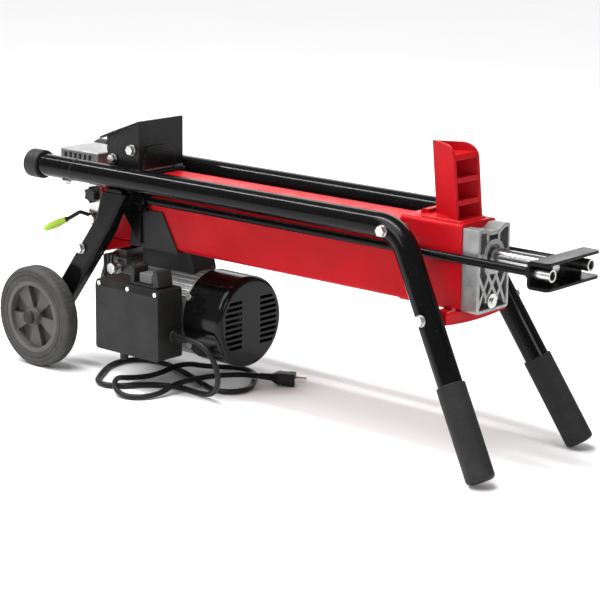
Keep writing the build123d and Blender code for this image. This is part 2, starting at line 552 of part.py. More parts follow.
AXLE_HALF, HUB_OUT, HUB_IN = 130, 127, 85.2
with BuildPart() as axle:
    for side in (NEAR, FAR):
        rod(Plane(origin=(AXLE_X, side * (REAR_LEG_IN - 8), AXLE_Z), z_dir=(0, side, 0)), AXLE_D,
            AXLE_HALF - REAR_LEG_IN + 8)
        with BuildSketch(Plane(origin=(AXLE_X, side * REAR_LEG_IN, AXLE_Z), z_dir=(0, -side, 0))):
            RegularPolygon(9.5, 6, major_radius=False)
        extrude(amount=8)
finish(axle, "axle")

with BuildPart() as axle_caps:
    for side in (NEAR, FAR):
        rod(Plane(origin=(AXLE_X, side * (HUB_OUT + 0.5), AXLE_Z), z_dir=(0, side, 0)), 22, 5)
    fillet(axle_caps.edges().filter_by(GeomType.CIRCLE).group_by(Axis.Y)[0], 2)
    fillet(axle_caps.edges().filter_by(GeomType.CIRCLE).group_by(Axis.Y)[-1], 2)
    rod(Plane(origin=(AXLE_X, -AXLE_HALF, AXLE_Z), z_dir=(0, 1, 0)), AXLE_D, 2 * AXLE_HALF, mode=Mode.SUBTRACT)
finish(axle_caps, "axle_caps")

RIM_D, WEB_THICK, SPOKE_HEIGHT = 100, 4, 9
SPOKE_OUTLINE = ((11, -4.5), (RIM_D / 2 + 1, -16), (RIM_D / 2 + 1, 16), (11, 4.5))
for side, label in ((NEAR, "near"), (FAR, "far")):
    wheel_plane = Plane(origin=(AXLE_X, side * WHEEL_Y, AXLE_Z), z_dir=(0, side, 0), x_dir=(1, 0, 0))
    with BuildPart() as wheel_hub:
        with BuildSketch(wheel_plane.offset(-WHEEL_WIDTH / 2 + 1)):
            Circle(TYRE_INNER_D / 2)
            Circle(RIM_D / 2, mode=Mode.SUBTRACT)
        extrude(amount=WHEEL_WIDTH - 2)
        with BuildSketch(wheel_plane.offset(-WEB_THICK - 2)):
            Circle(RIM_D / 2 + 1)
        extrude(amount=WEB_THICK)
        with BuildSketch(wheel_plane.offset(-2)):
            with PolarLocations(0, SPOKES, start_angle=54):
                polygon(*SPOKE_OUTLINE)
        extrude(amount=SPOKE_HEIGHT)
        rod(wheel_plane.offset(HUB_IN - WHEEL_Y), HUB_BOSS_D, HUB_OUT - HUB_IN)
        rod(wheel_plane.offset(HUB_IN - WHEEL_Y), HUB_BORE_D, HUB_OUT - HUB_IN, mode=Mode.SUBTRACT)
    finish(wheel_hub, f"wheel_hub_{label}")
    with BuildPart() as tyre:
        with BuildSketch(wheel_plane.offset(-WHEEL_WIDTH / 2)):
            Circle(WHEEL_D / 2)
            Circle(TYRE_INNER_D / 2, mode=Mode.SUBTRACT)
        extrude(amount=WHEEL_WIDTH)
        tread_rims = tyre.edges().filter_by(GeomType.CIRCLE).filter_by(lambda rim: rim.radius > WHEEL_D / 2 - 1)
        fillet(tread_rims, 5)
        with BuildSketch(wheel_plane.offset(WHEEL_WIDTH / 2)):
            Circle(70)
            Circle(66, mode=Mode.SUBTRACT)
        extrude(amount=-2, mode=Mode.SUBTRACT)
    finish(tyre, f"tyre_{label}")

# ---------------------------------------------------------------- frame bolts
with BuildPart() as frame_bolts:
    for side in (NEAR, FAR):
        hex_bolt(seat_facing(side, RAIL_BOLT_X, RAIL_BOLT_SEAT, RAIL_BOLT_Z), 55)
        hex_bolt(seat_facing(side, LEG_BOLT_X, LEG_BOLT_SEAT, LEG_BOLT_Z), LEG_BOLT_SEAT - 58)
        hex_bolt(seat_facing(side, REAR_BOLT_X, LEG_Y + LEG_THICK / 2, REAR_BOLT_Z), 34)
        hex_bolt(Plane(origin=(RAIL_STUB_X, side * RAIL_Y, RAIL_Z - TUBE_D / 2 - 0.4), z_dir=(0, 0, -1)), 16)
finish(frame_bolts, "frame_bolts")

# ---------------------------------------------------------------- valve block, lever and bleed screw
FIN_PITCH, FIN_SLOT, FIN_DEPTH, FIN_ROOF = 11, 6, 11, 5
BRACKET_Y = (-40, -36.2)
with BuildPart() as valve_block:
    rear_x, front_x, low_z, top_z = VALVE_BLOCK
    slab((rear_x, front_x), (-37, 37), (low_z, top_z))
    slab((-378, front_x), (BRACKET_Y[1], -BRACKET_Y[1]), (224, low_z))
    fillet(valve_block.edges().filter_by(Axis.Z).group_by(Axis.X)[0], 6)
    fillet(valve_block.faces().sort_by(Axis.Z)[-1].edges(), 2.5)
    for index in range(6):
        slot_x = rear_x + 13 + index * FIN_PITCH
        for side in (NEAR, FAR):
            slab((slot_x, slot_x + FIN_SLOT), sorted((side * (37 - FIN_DEPTH), side * 40)),
                 (low_z - 1, top_z - FIN_ROOF), mode=Mode.SUBTRACT)
    rod(Plane(origin=(SPOOL_X, SPOOL_Y, 220)), SPOOL_D + 2 * RUN_GAP, 66, mode=Mode.SUBTRACT)
    rod(Plane(origin=(BLEED_X, BRACKET_Y[0], BLEED_Z), z_dir=(0, 1, 0)), 8.1, 18, mode=Mode.SUBTRACT)
finish(valve_block, "valve_block")

with BuildPart() as valve_spool:
    rod(Plane(origin=(SPOOL_X, SPOOL_Y, 230)), SPOOL_D, 50)
    with BuildSketch(Plane.XY.offset(250)):
        with Locations((SPOOL_X, SPOOL_Y)):
            Circle(SPOOL_D)
            Circle(SPOOL_D / 2 - 1.5, mode=Mode.SUBTRACT)
    extrude(amount=8, mode=Mode.SUBTRACT)
finish(valve_spool, "valve_spool")

PIVOT_BOLT_D = 8
with BuildPart() as lever_bracket:
    with BuildSketch(square_to_y((BRACKET_Y[0] + BRACKET_Y[1]) / 2)):
        polygon((-379, 290), (-379, 240), (-366, 226), (-344, 226), (-344, 246), (-352, 258), (-352, 290))
    extrude(amount=(BRACKET_Y[1] - BRACKET_Y[0]) / 2, both=True)
    fillet(lever_bracket.edges().filter_by(Axis.Y), 3)
    hole_across(BLEED_X, BLEED_Z, 9)
    pivot_head = Plane(origin=(LEVER_PIVOT_X, LEVER_Y - 5.4, LEVER_PIVOT_Z), z_dir=(0, -1, 0))
    rod(pivot_head, PIVOT_BOLT_D, -(BRACKET_Y[0] - LEVER_Y + 5.4))
    with BuildSketch(pivot_head):
        RegularPolygon(6.5, 6, major_radius=False)
    extrude(amount=5)
finish(lever_bracket, "lever_bracket")

LEVER_ROD_D = 6.5
LEVER_ROOT, LEVER_BEND, LEVER_TIP = (-360, 240), ((-391, 243), (-417, 229)), (-470, 205.7)
with BuildPart() as control_lever:
    rod(Plane(origin=(LEVER_PIVOT_X, LEVER_Y - 5, LEVER_PIVOT_Z), z_dir=(0, 1, 0)), 19, 12)
    with BuildLine(square_to_y(LEVER_Y)) as lever_line:
        FilletPolyline(LEVER_ROOT, *LEVER_BEND, LEVER_TIP, radius=(14, 14))
    with BuildSketch(Plane(origin=lever_line.line @ 0, z_dir=lever_line.line % 0)):
        Circle(LEVER_ROD_D / 2)
    sweep()
    rod(Plane(origin=(LEVER_PIVOT_X, LEVER_Y - 20, LEVER_PIVOT_Z), z_dir=(0, 1, 0)),
        PIVOT_BOLT_D + 2 * RUN_GAP, 40, mode=Mode.SUBTRACT)
finish(control_lever, "control_lever")

GRIP_PROFILE = ((0, 4), (14, 6.2), (46, 5.4), (56, 4.6))
grip_dir = Vector(LEVER_BEND[1][0] - LEVER_TIP[0], 0, LEVER_BEND[1][1] - LEVER_TIP[1]).normalized()
with BuildPart() as lever_grip:
    rod_tip = Vector(LEVER_TIP[0], LEVER_Y, LEVER_TIP[1])
    grip_plane = Plane(origin=rod_tip - 4 * grip_dir, z_dir=grip_dir)
    for reach, radius in GRIP_PROFILE:
        with BuildSketch(grip_plane.offset(reach)):
            Circle(radius)
    loft()
    rod(Plane(origin=rod_tip, z_dir=grip_dir), LEVER_ROD_D, 60, mode=Mode.SUBTRACT)
finish(lever_grip, "lever_grip")

with BuildPart() as bleed_screw:
    bleed_seat = Plane(origin=(BLEED_X, BRACKET_Y[0] - 2, BLEED_Z), z_dir=(0, -1, 0))
    with BuildSketch(bleed_seat):
        Circle(10.5)
        with PolarLocations(10.2, 6):
            Circle(2.8)
    extrude(amount=11)
    fillet(bleed_screw.faces().sort_by(Axis.Y)[0].edges(), 1.2)
    rod(bleed_seat, 8, -14)
finish(bleed_screw, "bleed_screw")

# ---------------------------------------------------------------- motor, pump and fan
motor_rear = Plane(origin=(MOTOR_REAR, 0, MOTOR_Z), z_dir=(1, 0, 0), x_dir=(0, 1, 0))


def on_motor_axis(x):
    """Plane square to the motor shaft at a station along it, drawn in (Y, Z)."""
    return motor_rear.offset(x - MOTOR_REAR)


FRONT_WALL = 12
with BuildPart() as motor_housing:
    rod(motor_rear, 2 * MOTOR_R, MOTOR_FRONT - MOTOR_REAR)
    rod(on_motor_axis(MOTOR_FRONT - 7), 2 * (FAN_COVER_R - COVER_WALL - 0.2), 7)
    rod(motor_rear, 2 * (MOTOR_R - MOTOR_WALL), MOTOR_FRONT - FRONT_WALL - MOTOR_REAR, mode=Mode.SUBTRACT)
    rod(on_motor_axis(MOTOR_FRONT - FRONT_WALL), BEARING_OD, BEARING_WIDTH, mode=Mode.SUBTRACT)
    rod(on_motor_axis(MOTOR_FRONT - FRONT_WALL), SHAFT_D + 4, FRONT_WALL, mode=Mode.SUBTRACT)
finish(motor_housing, "motor_housing")

CORE_X = (-262, -180)
ROTOR_R, AIR_GAP = 31, 0.8
with BuildPart() as stator:
    with BuildSketch(on_motor_axis(CORE_X[0])):
        Circle(MOTOR_R - MOTOR_WALL - 0.1)
        Circle(ROTOR_R + AIR_GAP, mode=Mode.SUBTRACT)
        with PolarLocations(ROTOR_R + 12, 12):
            Rectangle(14, 7, mode=Mode.SUBTRACT)
    extrude(amount=CORE_X[1] - CORE_X[0])
finish(stator, "stator")

SHAFT_REAR, SHAFT_FRONT = PUMP_SPLIT - GEAR_WIDTH + 0.5, -86
with BuildPart() as rotor:
    rod(on_motor_axis(SHAFT_REAR), SHAFT_D, SHAFT_FRONT - SHAFT_REAR)
    rod(on_motor_axis(CORE_X[0]), 2 * ROTOR_R, CORE_X[1] - CORE_X[0])
finish(rotor, "rotor")

PUMP_FLANGE_REAR = MOTOR_REAR - 14
with BuildPart() as motor_bearings:
    for x in (MOTOR_REAR - BEARING_WIDTH, MOTOR_FRONT - FRONT_WALL):
        with BuildSketch(on_motor_axis(x)):
            Circle(BEARING_OD / 2)
            Circle(SHAFT_D / 2 + RUN_GAP, mode=Mode.SUBTRACT)
        extrude(amount=BEARING_WIDTH)
finish(motor_bearings, "motor_bearings")

BLADES, BLADE_R = 8, 60
with BuildPart() as cooling_fan:
    with BuildSketch(on_motor_axis(-122)):
        Circle(BLADE_R)
        Circle(SHAFT_D / 2, mode=Mode.SUBTRACT)
    extrude(amount=3)
    with BuildSketch(on_motor_axis(-119)):
        Circle(13)
        with PolarLocations(35, BLADES):
            Rectangle(48, 2.6)
        Circle(SHAFT_D / 2, mode=Mode.SUBTRACT)
    extrude(amount=27)
finish(cooling_fan, "cooling_fan")

SLOT_PITCH, SLOT_HEIGHT, SLOT_WIDTH, SLOT_ROWS = 8.6, 4.8, 37, 9
with BuildPart() as fan_cover:
    rod(on_motor_axis(FAN_COVER_REAR - 10), 2 * FAN_COVER_R, FAN_COVER_FRONT - FAN_COVER_REAR + 10)
    fillet(fan_cover.faces().sort_by(Axis.X)[-1].edges(), 9)
    rod(on_motor_axis(FAN_COVER_REAR - 10), 2 * (FAN_COVER_R - COVER_WALL),
        FAN_COVER_FRONT - FAN_COVER_REAR + 10 - COVER_WALL - 6, mode=Mode.SUBTRACT)
    rod(on_motor_axis(FAN_COVER_FRONT - 12), 2 * (FAN_COVER_R - 9), 12 - COVER_WALL, mode=Mode.SUBTRACT)
    with BuildSketch(on_motor_axis(FAN_COVER_FRONT - 12)):
        for column in (-38, 38):
            with Locations((column, 0)):
                with GridLocations(SLOT_WIDTH, SLOT_PITCH, 1, SLOT_ROWS):
                    SlotOverall(SLOT_WIDTH, SLOT_HEIGHT)
        Circle(FAN_COVER_R - 11, mode=Mode.INTERSECT)
    extrude(amount=20, mode=Mode.SUBTRACT)
    for angle in (31, 149, 211, 329):
        direction = Vector(0, math.cos(math.radians(angle)), math.sin(math.radians(angle)))
        rod(Plane(origin=Vector(-139, 0, MOTOR_Z) + direction * 60, z_dir=direction), 5.2, 20, mode=Mode.SUBTRACT)
finish(fan_cover, "fan_cover")


def gear_outline(teeth, module, phase):
    """Gear face with slim straight-sided teeth; phase 0 puts a tooth on the local X axis."""
    pitch_r = teeth * module / 2
    root_r, tip_r = pitch_r - 1.1 * module, pitch_r + 0.75 * module
    Circle(root_r + 0.05)
    with PolarLocations(0, teeth, start_angle=math.degrees(phase)):
        polygon((root_r - 1, -0.9 * module), (root_r + 0.2, -0.86 * module), (tip_r, -0.3 * module),
                (tip_r, 0.3 * module), (root_r + 0.2, 0.86 * module), (root_r - 1, 0.9 * module))


GEAR_X = PUMP_SPLIT - GEAR_WIDTH
with BuildPart() as drive_gear:
    with BuildSketch(on_motor_axis(GEAR_X + 0.5)):
        gear_outline(GEAR_TEETH, GEAR_MODULE, math.pi / 2)
        Circle(SHAFT_D / 2, mode=Mode.SUBTRACT)
    extrude(amount=GEAR_WIDTH - 1)
finish(drive_gear, "drive_gear")

driven_axis = Plane(origin=(GEAR_X, 0, MOTOR_Z + GEAR_CENTRES), z_dir=(1, 0, 0), x_dir=(0, 1, 0))
STUB_D, STUB_LENGTH = 12, 6
with BuildPart() as driven_gear:
    with BuildSketch(driven_axis.offset(0.5)):
        gear_outline(GEAR_TEETH, GEAR_MODULE, -math.pi / 2 + math.pi / GEAR_TEETH)
    extrude(amount=GEAR_WIDTH - 1)
    rod(driven_axis.offset(-STUB_LENGTH), STUB_D, GEAR_WIDTH + 2 * STUB_LENGTH)
finish(driven_gear, "driven_gear")

GEAR_CAVITY_R = GEAR_TEETH * GEAR_MODULE / 2 + 0.75 * GEAR_MODULE + 0.4


def gear_cavity(x, length):
    """Figure-eight chamber for the two pump gears."""
    with BuildSketch(on_motor_axis(x)) as chamber:
        with Locations((0, 0), (0, GEAR_CENTRES)):
            Circle(GEAR_CAVITY_R)
    extrude(chamber.sketch, amount=length, mode=Mode.SUBTRACT)


with BuildPart() as pump_housing:
    slab((PUMP_SPLIT, PUMP_FLANGE_REAR), (-PUMP_HALF, PUMP_HALF), (PUMP_BOTTOM, PUMP_TOP))
    slab(PUMP_NECK_X, (-30, 30), (PUMP_TOP, PUMP_NECK_TOP))
    rod(on_motor_axis(PUMP_FLANGE_REAR), 2 * MOTOR_R + 2, MOTOR_REAR - PUMP_FLANGE_REAR)
    rod(on_motor_axis(MOTOR_REAR - BEARING_WIDTH), BEARING_OD, BEARING_WIDTH, mode=Mode.SUBTRACT)
    rod(on_motor_axis(PUMP_SPLIT), SHAFT_D + 2 * RUN_GAP, MOTOR_REAR - PUMP_SPLIT, mode=Mode.SUBTRACT)
    rod(driven_axis.offset(GEAR_WIDTH), STUB_D + 2 * RUN_GAP, STUB_LENGTH + 0.5, mode=Mode.SUBTRACT)
finish(pump_housing, "pump_housing")

PUMP_FINS, PUMP_FIN_PITCH, PUMP_FIN_SLOT = 3, 8, 4.4
with BuildPart() as pump_cover:
    slab((PUMP_REAR, PUMP_SPLIT), (-PUMP_HALF, PUMP_HALF), (PUMP_BOTTOM, PUMP_TOP))
    for index in range(PUMP_FINS):
        for side in (NEAR, FAR):
            slot_x = PUMP_REAR + 3.4 + index * PUMP_FIN_PITCH
            slab((slot_x, slot_x + PUMP_FIN_SLOT), sorted((side * (PUMP_HALF - 8), side * (PUMP_HALF + 2))),
                 (PUMP_BOTTOM + 10, PUMP_TOP + 1), mode=Mode.SUBTRACT)
    gear_cavity(GEAR_X, GEAR_WIDTH)
    rod(driven_axis.offset(-STUB_LENGTH - 0.5), STUB_D + 2 * RUN_GAP, STUB_LENGTH + 1, mode=Mode.SUBTRACT)
finish(pump_cover, "pump_cover")

with BuildPart() as oil_fitting:
    fitting_seat = Plane(origin=(-310, -PUMP_HALF, 166), z_dir=(0, -1, 0))
    with BuildSketch(fitting_seat):
        RegularPolygon(9.5, 6, major_radius=False)
    extrude(amount=9)
    rod(fitting_seat.offset(9), 12, 5)
    with BuildSketch(fitting_seat.offset(14)):
        RegularPolygon(8, 6, major_radius=False)
    extrude(amount=8)
finish(oil_fitting, "oil_fitting")

with BuildPart() as motor_saddle:
    saddle_out = BEAM_WIDTH / 2 + PLATE
    slab(SADDLE_X, (-saddle_out, saddle_out), (BEAM_BOTTOM - PLATE, BEAM_BOTTOM))
    for side in (NEAR, FAR):
        with BuildSketch(square_to_y(side * (saddle_out - PLATE / 2))):
            polygon((SADDLE_X[0], BEAM_BOTTOM - PLATE), (SADDLE_X[1], BEAM_BOTTOM - PLATE),
                    (SADDLE_TOP_X[1], SADDLE_TOP_Z), (SADDLE_TOP_X[0], SADDLE_TOP_Z))
        extrude(amount=PLATE / 2, both=True)
    with BuildSketch(Plane.XZ):
        polygon(*SADDLE_BLOCK)
    extrude(amount=24, both=True)
    rod(motor_rear, 2 * MOTOR_R, MOTOR_FRONT - MOTOR_REAR, mode=Mode.SUBTRACT)
finish(motor_saddle, "motor_saddle")

# ---------------------------------------------------------------- switch box, buttons and cord
with BuildPart() as switch_box:
    slab(BOX_X, BOX_Y, BOX_Z)
    fillet(switch_box.edges().filter_by(Axis.Y), 5)
    slab((BOX_X[0] + BOX_WALL, BOX_X[1] - BOX_WALL), (BOX_Y[0] - 1, BOX_Y[1] - BOX_WALL),
         (BOX_Z[0] + BOX_WALL, BOX_Z[1] - BOX_WALL), mode=Mode.SUBTRACT)
    slab((-250, -180), (BOX_Y[1], -45), (92, 131))
    rod(motor_rear, 2 * MOTOR_R, MOTOR_FRONT - MOTOR_REAR, mode=Mode.SUBTRACT)
    rod(Plane(origin=(-250, -90, BOX_Z[0])), 6.4, BOX_WALL, mode=Mode.SUBTRACT)
    rod(Plane(origin=(BOX_X[1] - 5, CORD_EXIT[1], CORD_EXIT[2]), z_dir=(1, 0, 0)), 12, 5, mode=Mode.SUBTRACT)
finish(switch_box, "switch_box")

with BuildPart() as switch_box_cover:
    slab(BOX_X, (BOX_FRONT_Y, BOX_Y[0]), BOX_Z)
    fillet(switch_box_cover.edges().filter_by(Axis.Y), 5)
    bevel_depth, bevel_drop = BOX_BEVEL
    with BuildSketch(square_to_x(BOX_X[0] - 1)):
        polygon((BOX_FRONT_Y, BOX_Z[1] - bevel_drop), (BOX_FRONT_Y - 1, BOX_Z[1] - bevel_drop),
                (BOX_FRONT_Y - 1, BOX_Z[1] + 1), (BOX_FRONT_Y + bevel_depth, BOX_Z[1] + 1),
                (BOX_FRONT_Y + bevel_depth, BOX_Z[1]))
    extrude(amount=BOX_X[1] - BOX_X[0] + 2, mode=Mode.SUBTRACT)
    for screw_x in BOX_SCREWS_X:
        hole_across(screw_x, BOX_Z[1] - BOX_SCREW_DROP, 4.4)
        rod(Plane(origin=(screw_x, BOX_FRONT_Y + 1.6, BOX_Z[1] - BOX_SCREW_DROP), z_dir=(0, -1, 0)), 7.6, 5,
            mode=Mode.SUBTRACT)
finish(switch_box_cover, "switch_box_cover")

with BuildPart() as small_screws:
    for screw_x in BOX_SCREWS_X:
        screw_seat = Plane(origin=(screw_x, BOX_FRONT_Y + 1.6, BOX_Z[1] - BOX_SCREW_DROP), z_dir=(0, -1, 0))
        rod(screw_seat, 7, 2)
        rod(screw_seat, 4, -(BOX_Y[0] - BOX_FRONT_Y) + 1.8)
    for angle in (31, 149, 211, 329):
        direction = Vector(0, math.cos(math.radians(angle)), math.sin(math.radians(angle)))
        rim_seat = Plane(origin=Vector(-139, 0, MOTOR_Z) + direction * (FAN_COVER_R + 0.3), z_dir=direction)
        rod(rim_seat, 10, 3)
        rod(rim_seat, 5, -2.6)
finish(small_screws, "small_screws")

with BuildPart() as switch_frame:
    slab((SWITCH_X - 28, SWITCH_X + 28), (SWITCH_Y - 16, SWITCH_Y + 16), (BOX_Z[1], BOX_Z[1] + 4))
    for ear_x, lean in ((SWITCH_X - 24, 0), (SWITCH_X + 24, 8)):
        with BuildSketch(square_to_y(SWITCH_Y)):
            polygon((ear_x - 4, BOX_Z[1] + 3), (ear_x + 4 + lean / 2, BOX_Z[1] + 3), (ear_x + 4, BOX_Z[1] + 26),
                    (ear_x - 4, BOX_Z[1] + 26))
        extrude(amount=15, both=True)
    slab((SWITCH_X - 14.5, SWITCH_X + 14.5), (SWITCH_Y - 11.5, SWITCH_Y + 11.5), (BOX_Z[1], BOX_Z[1] + 4),
         mode=Mode.SUBTRACT)
finish(switch_frame, "switch_frame")

with BuildPart() as start_button:
    slab((SWITCH_X - 14, SWITCH_X + 14), (SWITCH_Y - 11, SWITCH_Y + 11), (BOX_Z[1] + 5, BOX_Z[1] + 19))
    fillet(start_button.edges().filter_by(Axis.Z), 3)
    fillet(start_button.faces().sort_by(Axis.Z)[-1].edges(), 1.5)
finish(start_button, "start_button")

with BuildPart() as reset_button:
    rod(Plane(origin=(-250, -90, 38)), 13, 14)
    fillet(reset_button.edges().filter_by(GeomType.CIRCLE), 1.2)
    rod(Plane(origin=(-250, -90, 52)), 6, 12)
finish(reset_button, "reset_button")

# The cord leaves the gland forward, arcs down to the floor, runs rearward along the near side,
# turns back through a long figure of eight and ends at the plug. It lies flat except where it
# crosses itself, and there it climbs over the strand below.
CORD_FLOOR, CORD_OVER = 4.6, 14.8
CORD_ROUTE = [CORD_EXIT, (-92, -88, 92), (-72, -87, 80), (-60.5, -84, 60), (-60.5, -79, 37), (-72, -73, 17.3),
              (-93, -68, 6.5)]
for floor_run in (
    # along the near side and round the rear loop
    (-122, -64), (-154, -62), (-186, -70), (-210, -90), (-226, -116), (-248, -132), (-274, -126), (-292, -104),
    (-308, -80), (-324, -54), (-332, -26), (-324, 0), (-302, 16), (-272, 19), (-242, 12), (-210, 2), (-176, -10),
    # round the front loop
    (-144, -25), (-116, -36), (-90, -34), (-75, -13), (-79, 13), (-96, 38), (-114, 62), (-138, 80), (-166, 82),
    (-190, 66),
):
    CORD_ROUTE.append((*floor_run, CORD_FLOOR))
CORD_ROUTE += [
    # over the first strand, then down the inside of the rear loop
    (-206, 42, 8), (-216, 18, CORD_OVER), (-223, -6, CORD_OVER), (-229, -32, 7), (-238, -60, CORD_FLOOR),
    # over the rear loop and back along the floor
    (-245, -88, 8), (-240, -114, CORD_OVER), (-225, -136, CORD_OVER), (-202, -152, 7), (-176, -151, CORD_FLOOR),
    (-157, -132, CORD_FLOOR),
    # over three strands in a row to the plug
    (-153, -106, 6), (-153, -82, 13), (-150, -58, CORD_OVER), (-148, -34, CORD_OVER), (-141, -10, CORD_OVER),
    (-128, 12, CORD_OVER), (-110, 32, CORD_OVER), (-90, 46, 13.4),
]


def corner_radii(points):
    """Largest fillets that leave a tenth of the shorter run straight at every corner."""
    radii = []
    for before, corner, after in zip(points, points[1:], points[2:]):
        run_in = Vector(*corner) - Vector(*before)
        run_out = Vector(*after) - Vector(*corner)
        half_turn = math.radians(run_in.get_angle(run_out)) / 2
        radii.append(0.45 * min(run_in.length, run_out.length) / math.tan(half_turn))
    return radii


cord_radii = corner_radii(CORD_ROUTE)
print("cord corner radii, mm:", [round(radius) for radius in cord_radii])
with BuildPart() as power_cord:
    with BuildLine() as cord_line:
        FilletPolyline(*CORD_ROUTE, radius=cord_radii)
    cord_path = cord_line.wires()[0]
    with BuildSketch(Plane(origin=cord_path @ 0, z_dir=cord_path % 0)):
        Circle(CORD_D / 2)
    sweep()
finish(power_cord, "power_cord")
section_volume = math.pi * (CORD_D / 2) ** 2 * cord_path.length
print("cord length, mm:", round(cord_path.length, 1), "volume share:", round(power_cord.part.volume / section_volume, 4))

with BuildPart() as cord_strain_relief:
    gland_plane = Plane(origin=(BOX_X[1], CORD_EXIT[1], CORD_EXIT[2]), z_dir=(1, 0, 0))
    with BuildSketch(gland_plane):
        RegularPolygon(CORD_GLAND_D / 2 + 2, 6, major_radius=False)
    extrude(amount=6)
    with BuildSketch(gland_plane.offset(6)):
        Circle(CORD_GLAND_D / 2)
    with BuildSketch(gland_plane.offset(CORD_EXIT[0] - BOX_X[1])):
        Circle(CORD_RELIEF_D / 2)
    loft()
    rod(gland_plane, CORD_GLAND_D - 4.4, -BOX_WALL)
finish(cord_strain_relief, "cord_strain_relief")

PLUG_NECK, PLUG_LENGTH, PLUG_WIDTH, PLUG_THICK = 20, 34, 25, 20
PRONG_LENGTH, PRONG_SPACING, PRONG_WIDTH, PRONG_THICK = 17, 12.7, 6.4, 1.6
plug_plane = Plane(origin=cord_path @ 1, x_dir=Vector(0, 0, 1), z_dir=cord_path % 1)
with BuildPart() as plug_body:
    with BuildSketch(plug_plane):
        Circle(CORD_D / 2 + 0.8)
    with BuildSketch(plug_plane.offset(PLUG_NECK)):
        Circle(CORD_D / 2 + 2)
    loft()
    with BuildSketch(plug_plane.offset(PLUG_NECK)):
        RectangleRounded(PLUG_THICK * 0.7, PLUG_WIDTH * 0.7, 4)
    with BuildSketch(plug_plane.offset(PLUG_NECK + 8)):
        RectangleRounded(PLUG_THICK, PLUG_WIDTH, 6)
    loft()
    with BuildSketch(plug_plane.offset(PLUG_NECK + 8)):
        RectangleRounded(PLUG_THICK, PLUG_WIDTH, 6)
    extrude(amount=PLUG_LENGTH - 8)
    with BuildSketch(plug_plane.offset(PLUG_NECK + PLUG_LENGTH)):
        with Locations((0, PRONG_SPACING / 2), (0, -PRONG_SPACING / 2)):
            Rectangle(PRONG_WIDTH, PRONG_THICK)
    extrude(amount=-12, mode=Mode.SUBTRACT)
finish(plug_body, "plug_body")

with BuildPart() as plug_prongs:
    with BuildSketch(plug_plane.offset(PLUG_NECK + PLUG_LENGTH - 12)):
        with Locations((0, PRONG_SPACING / 2), (0, -PRONG_SPACING / 2)):
            Rectangle(PRONG_WIDTH, PRONG_THICK)
    extrude(amount=PRONG_LENGTH + 12)
finish(plug_prongs, "plug_prongs")
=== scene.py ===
"""Looks of the log splitter: materials, moulded and welded detail, cord, camera and studio."""
import math
import random

import bmesh
import bpy
from mathutils import Matrix, Vector


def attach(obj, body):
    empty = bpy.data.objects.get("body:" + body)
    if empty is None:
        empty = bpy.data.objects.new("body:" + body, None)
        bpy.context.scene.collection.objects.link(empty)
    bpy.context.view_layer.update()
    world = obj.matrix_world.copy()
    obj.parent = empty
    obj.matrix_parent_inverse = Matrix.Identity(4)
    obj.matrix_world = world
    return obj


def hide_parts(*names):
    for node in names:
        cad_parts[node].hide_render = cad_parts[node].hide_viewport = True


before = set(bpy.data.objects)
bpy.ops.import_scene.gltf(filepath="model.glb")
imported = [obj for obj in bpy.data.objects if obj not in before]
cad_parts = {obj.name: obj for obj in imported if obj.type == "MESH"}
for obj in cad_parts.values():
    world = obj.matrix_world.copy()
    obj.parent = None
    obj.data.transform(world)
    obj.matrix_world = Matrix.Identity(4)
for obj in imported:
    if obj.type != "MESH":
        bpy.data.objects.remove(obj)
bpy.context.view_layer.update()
MM = 0.001
NEAR, FAR = -1, 1
random.seed(7)

# ---------------------------------------------------------------- camera
CAMERA_AT = Vector((1.9175, -2.1582, 0.8602))
YAW, PITCH, ROLL = math.radians(41.18), math.radians(13.68), math.radians(0.62)
SENSOR_WIDTH, FOCAL_LENGTH = 36, 120.48

ahead = Vector((-math.sin(YAW) * math.cos(PITCH), math.cos(YAW) * math.cos(PITCH), -math.sin(PITCH)))
level_right = Vector((math.cos(YAW), math.sin(YAW), 0))
right = math.cos(ROLL) * level_right + math.sin(ROLL) * level_right.cross(ahead)
up = right.cross(ahead)
camera = bpy.data.objects.new("camera", bpy.data.cameras.new("camera"))
bpy.context.scene.collection.objects.link(camera)
camera.matrix_world = Matrix.Translation(CAMERA_AT) @ Matrix((right, up, -ahead)).transposed().to_4x4()
camera.data.sensor_width = SENSOR_WIDTH
camera.data.lens = FOCAL_LENGTH
camera.data.clip_end = 100
bpy.context.scene.camera = camera


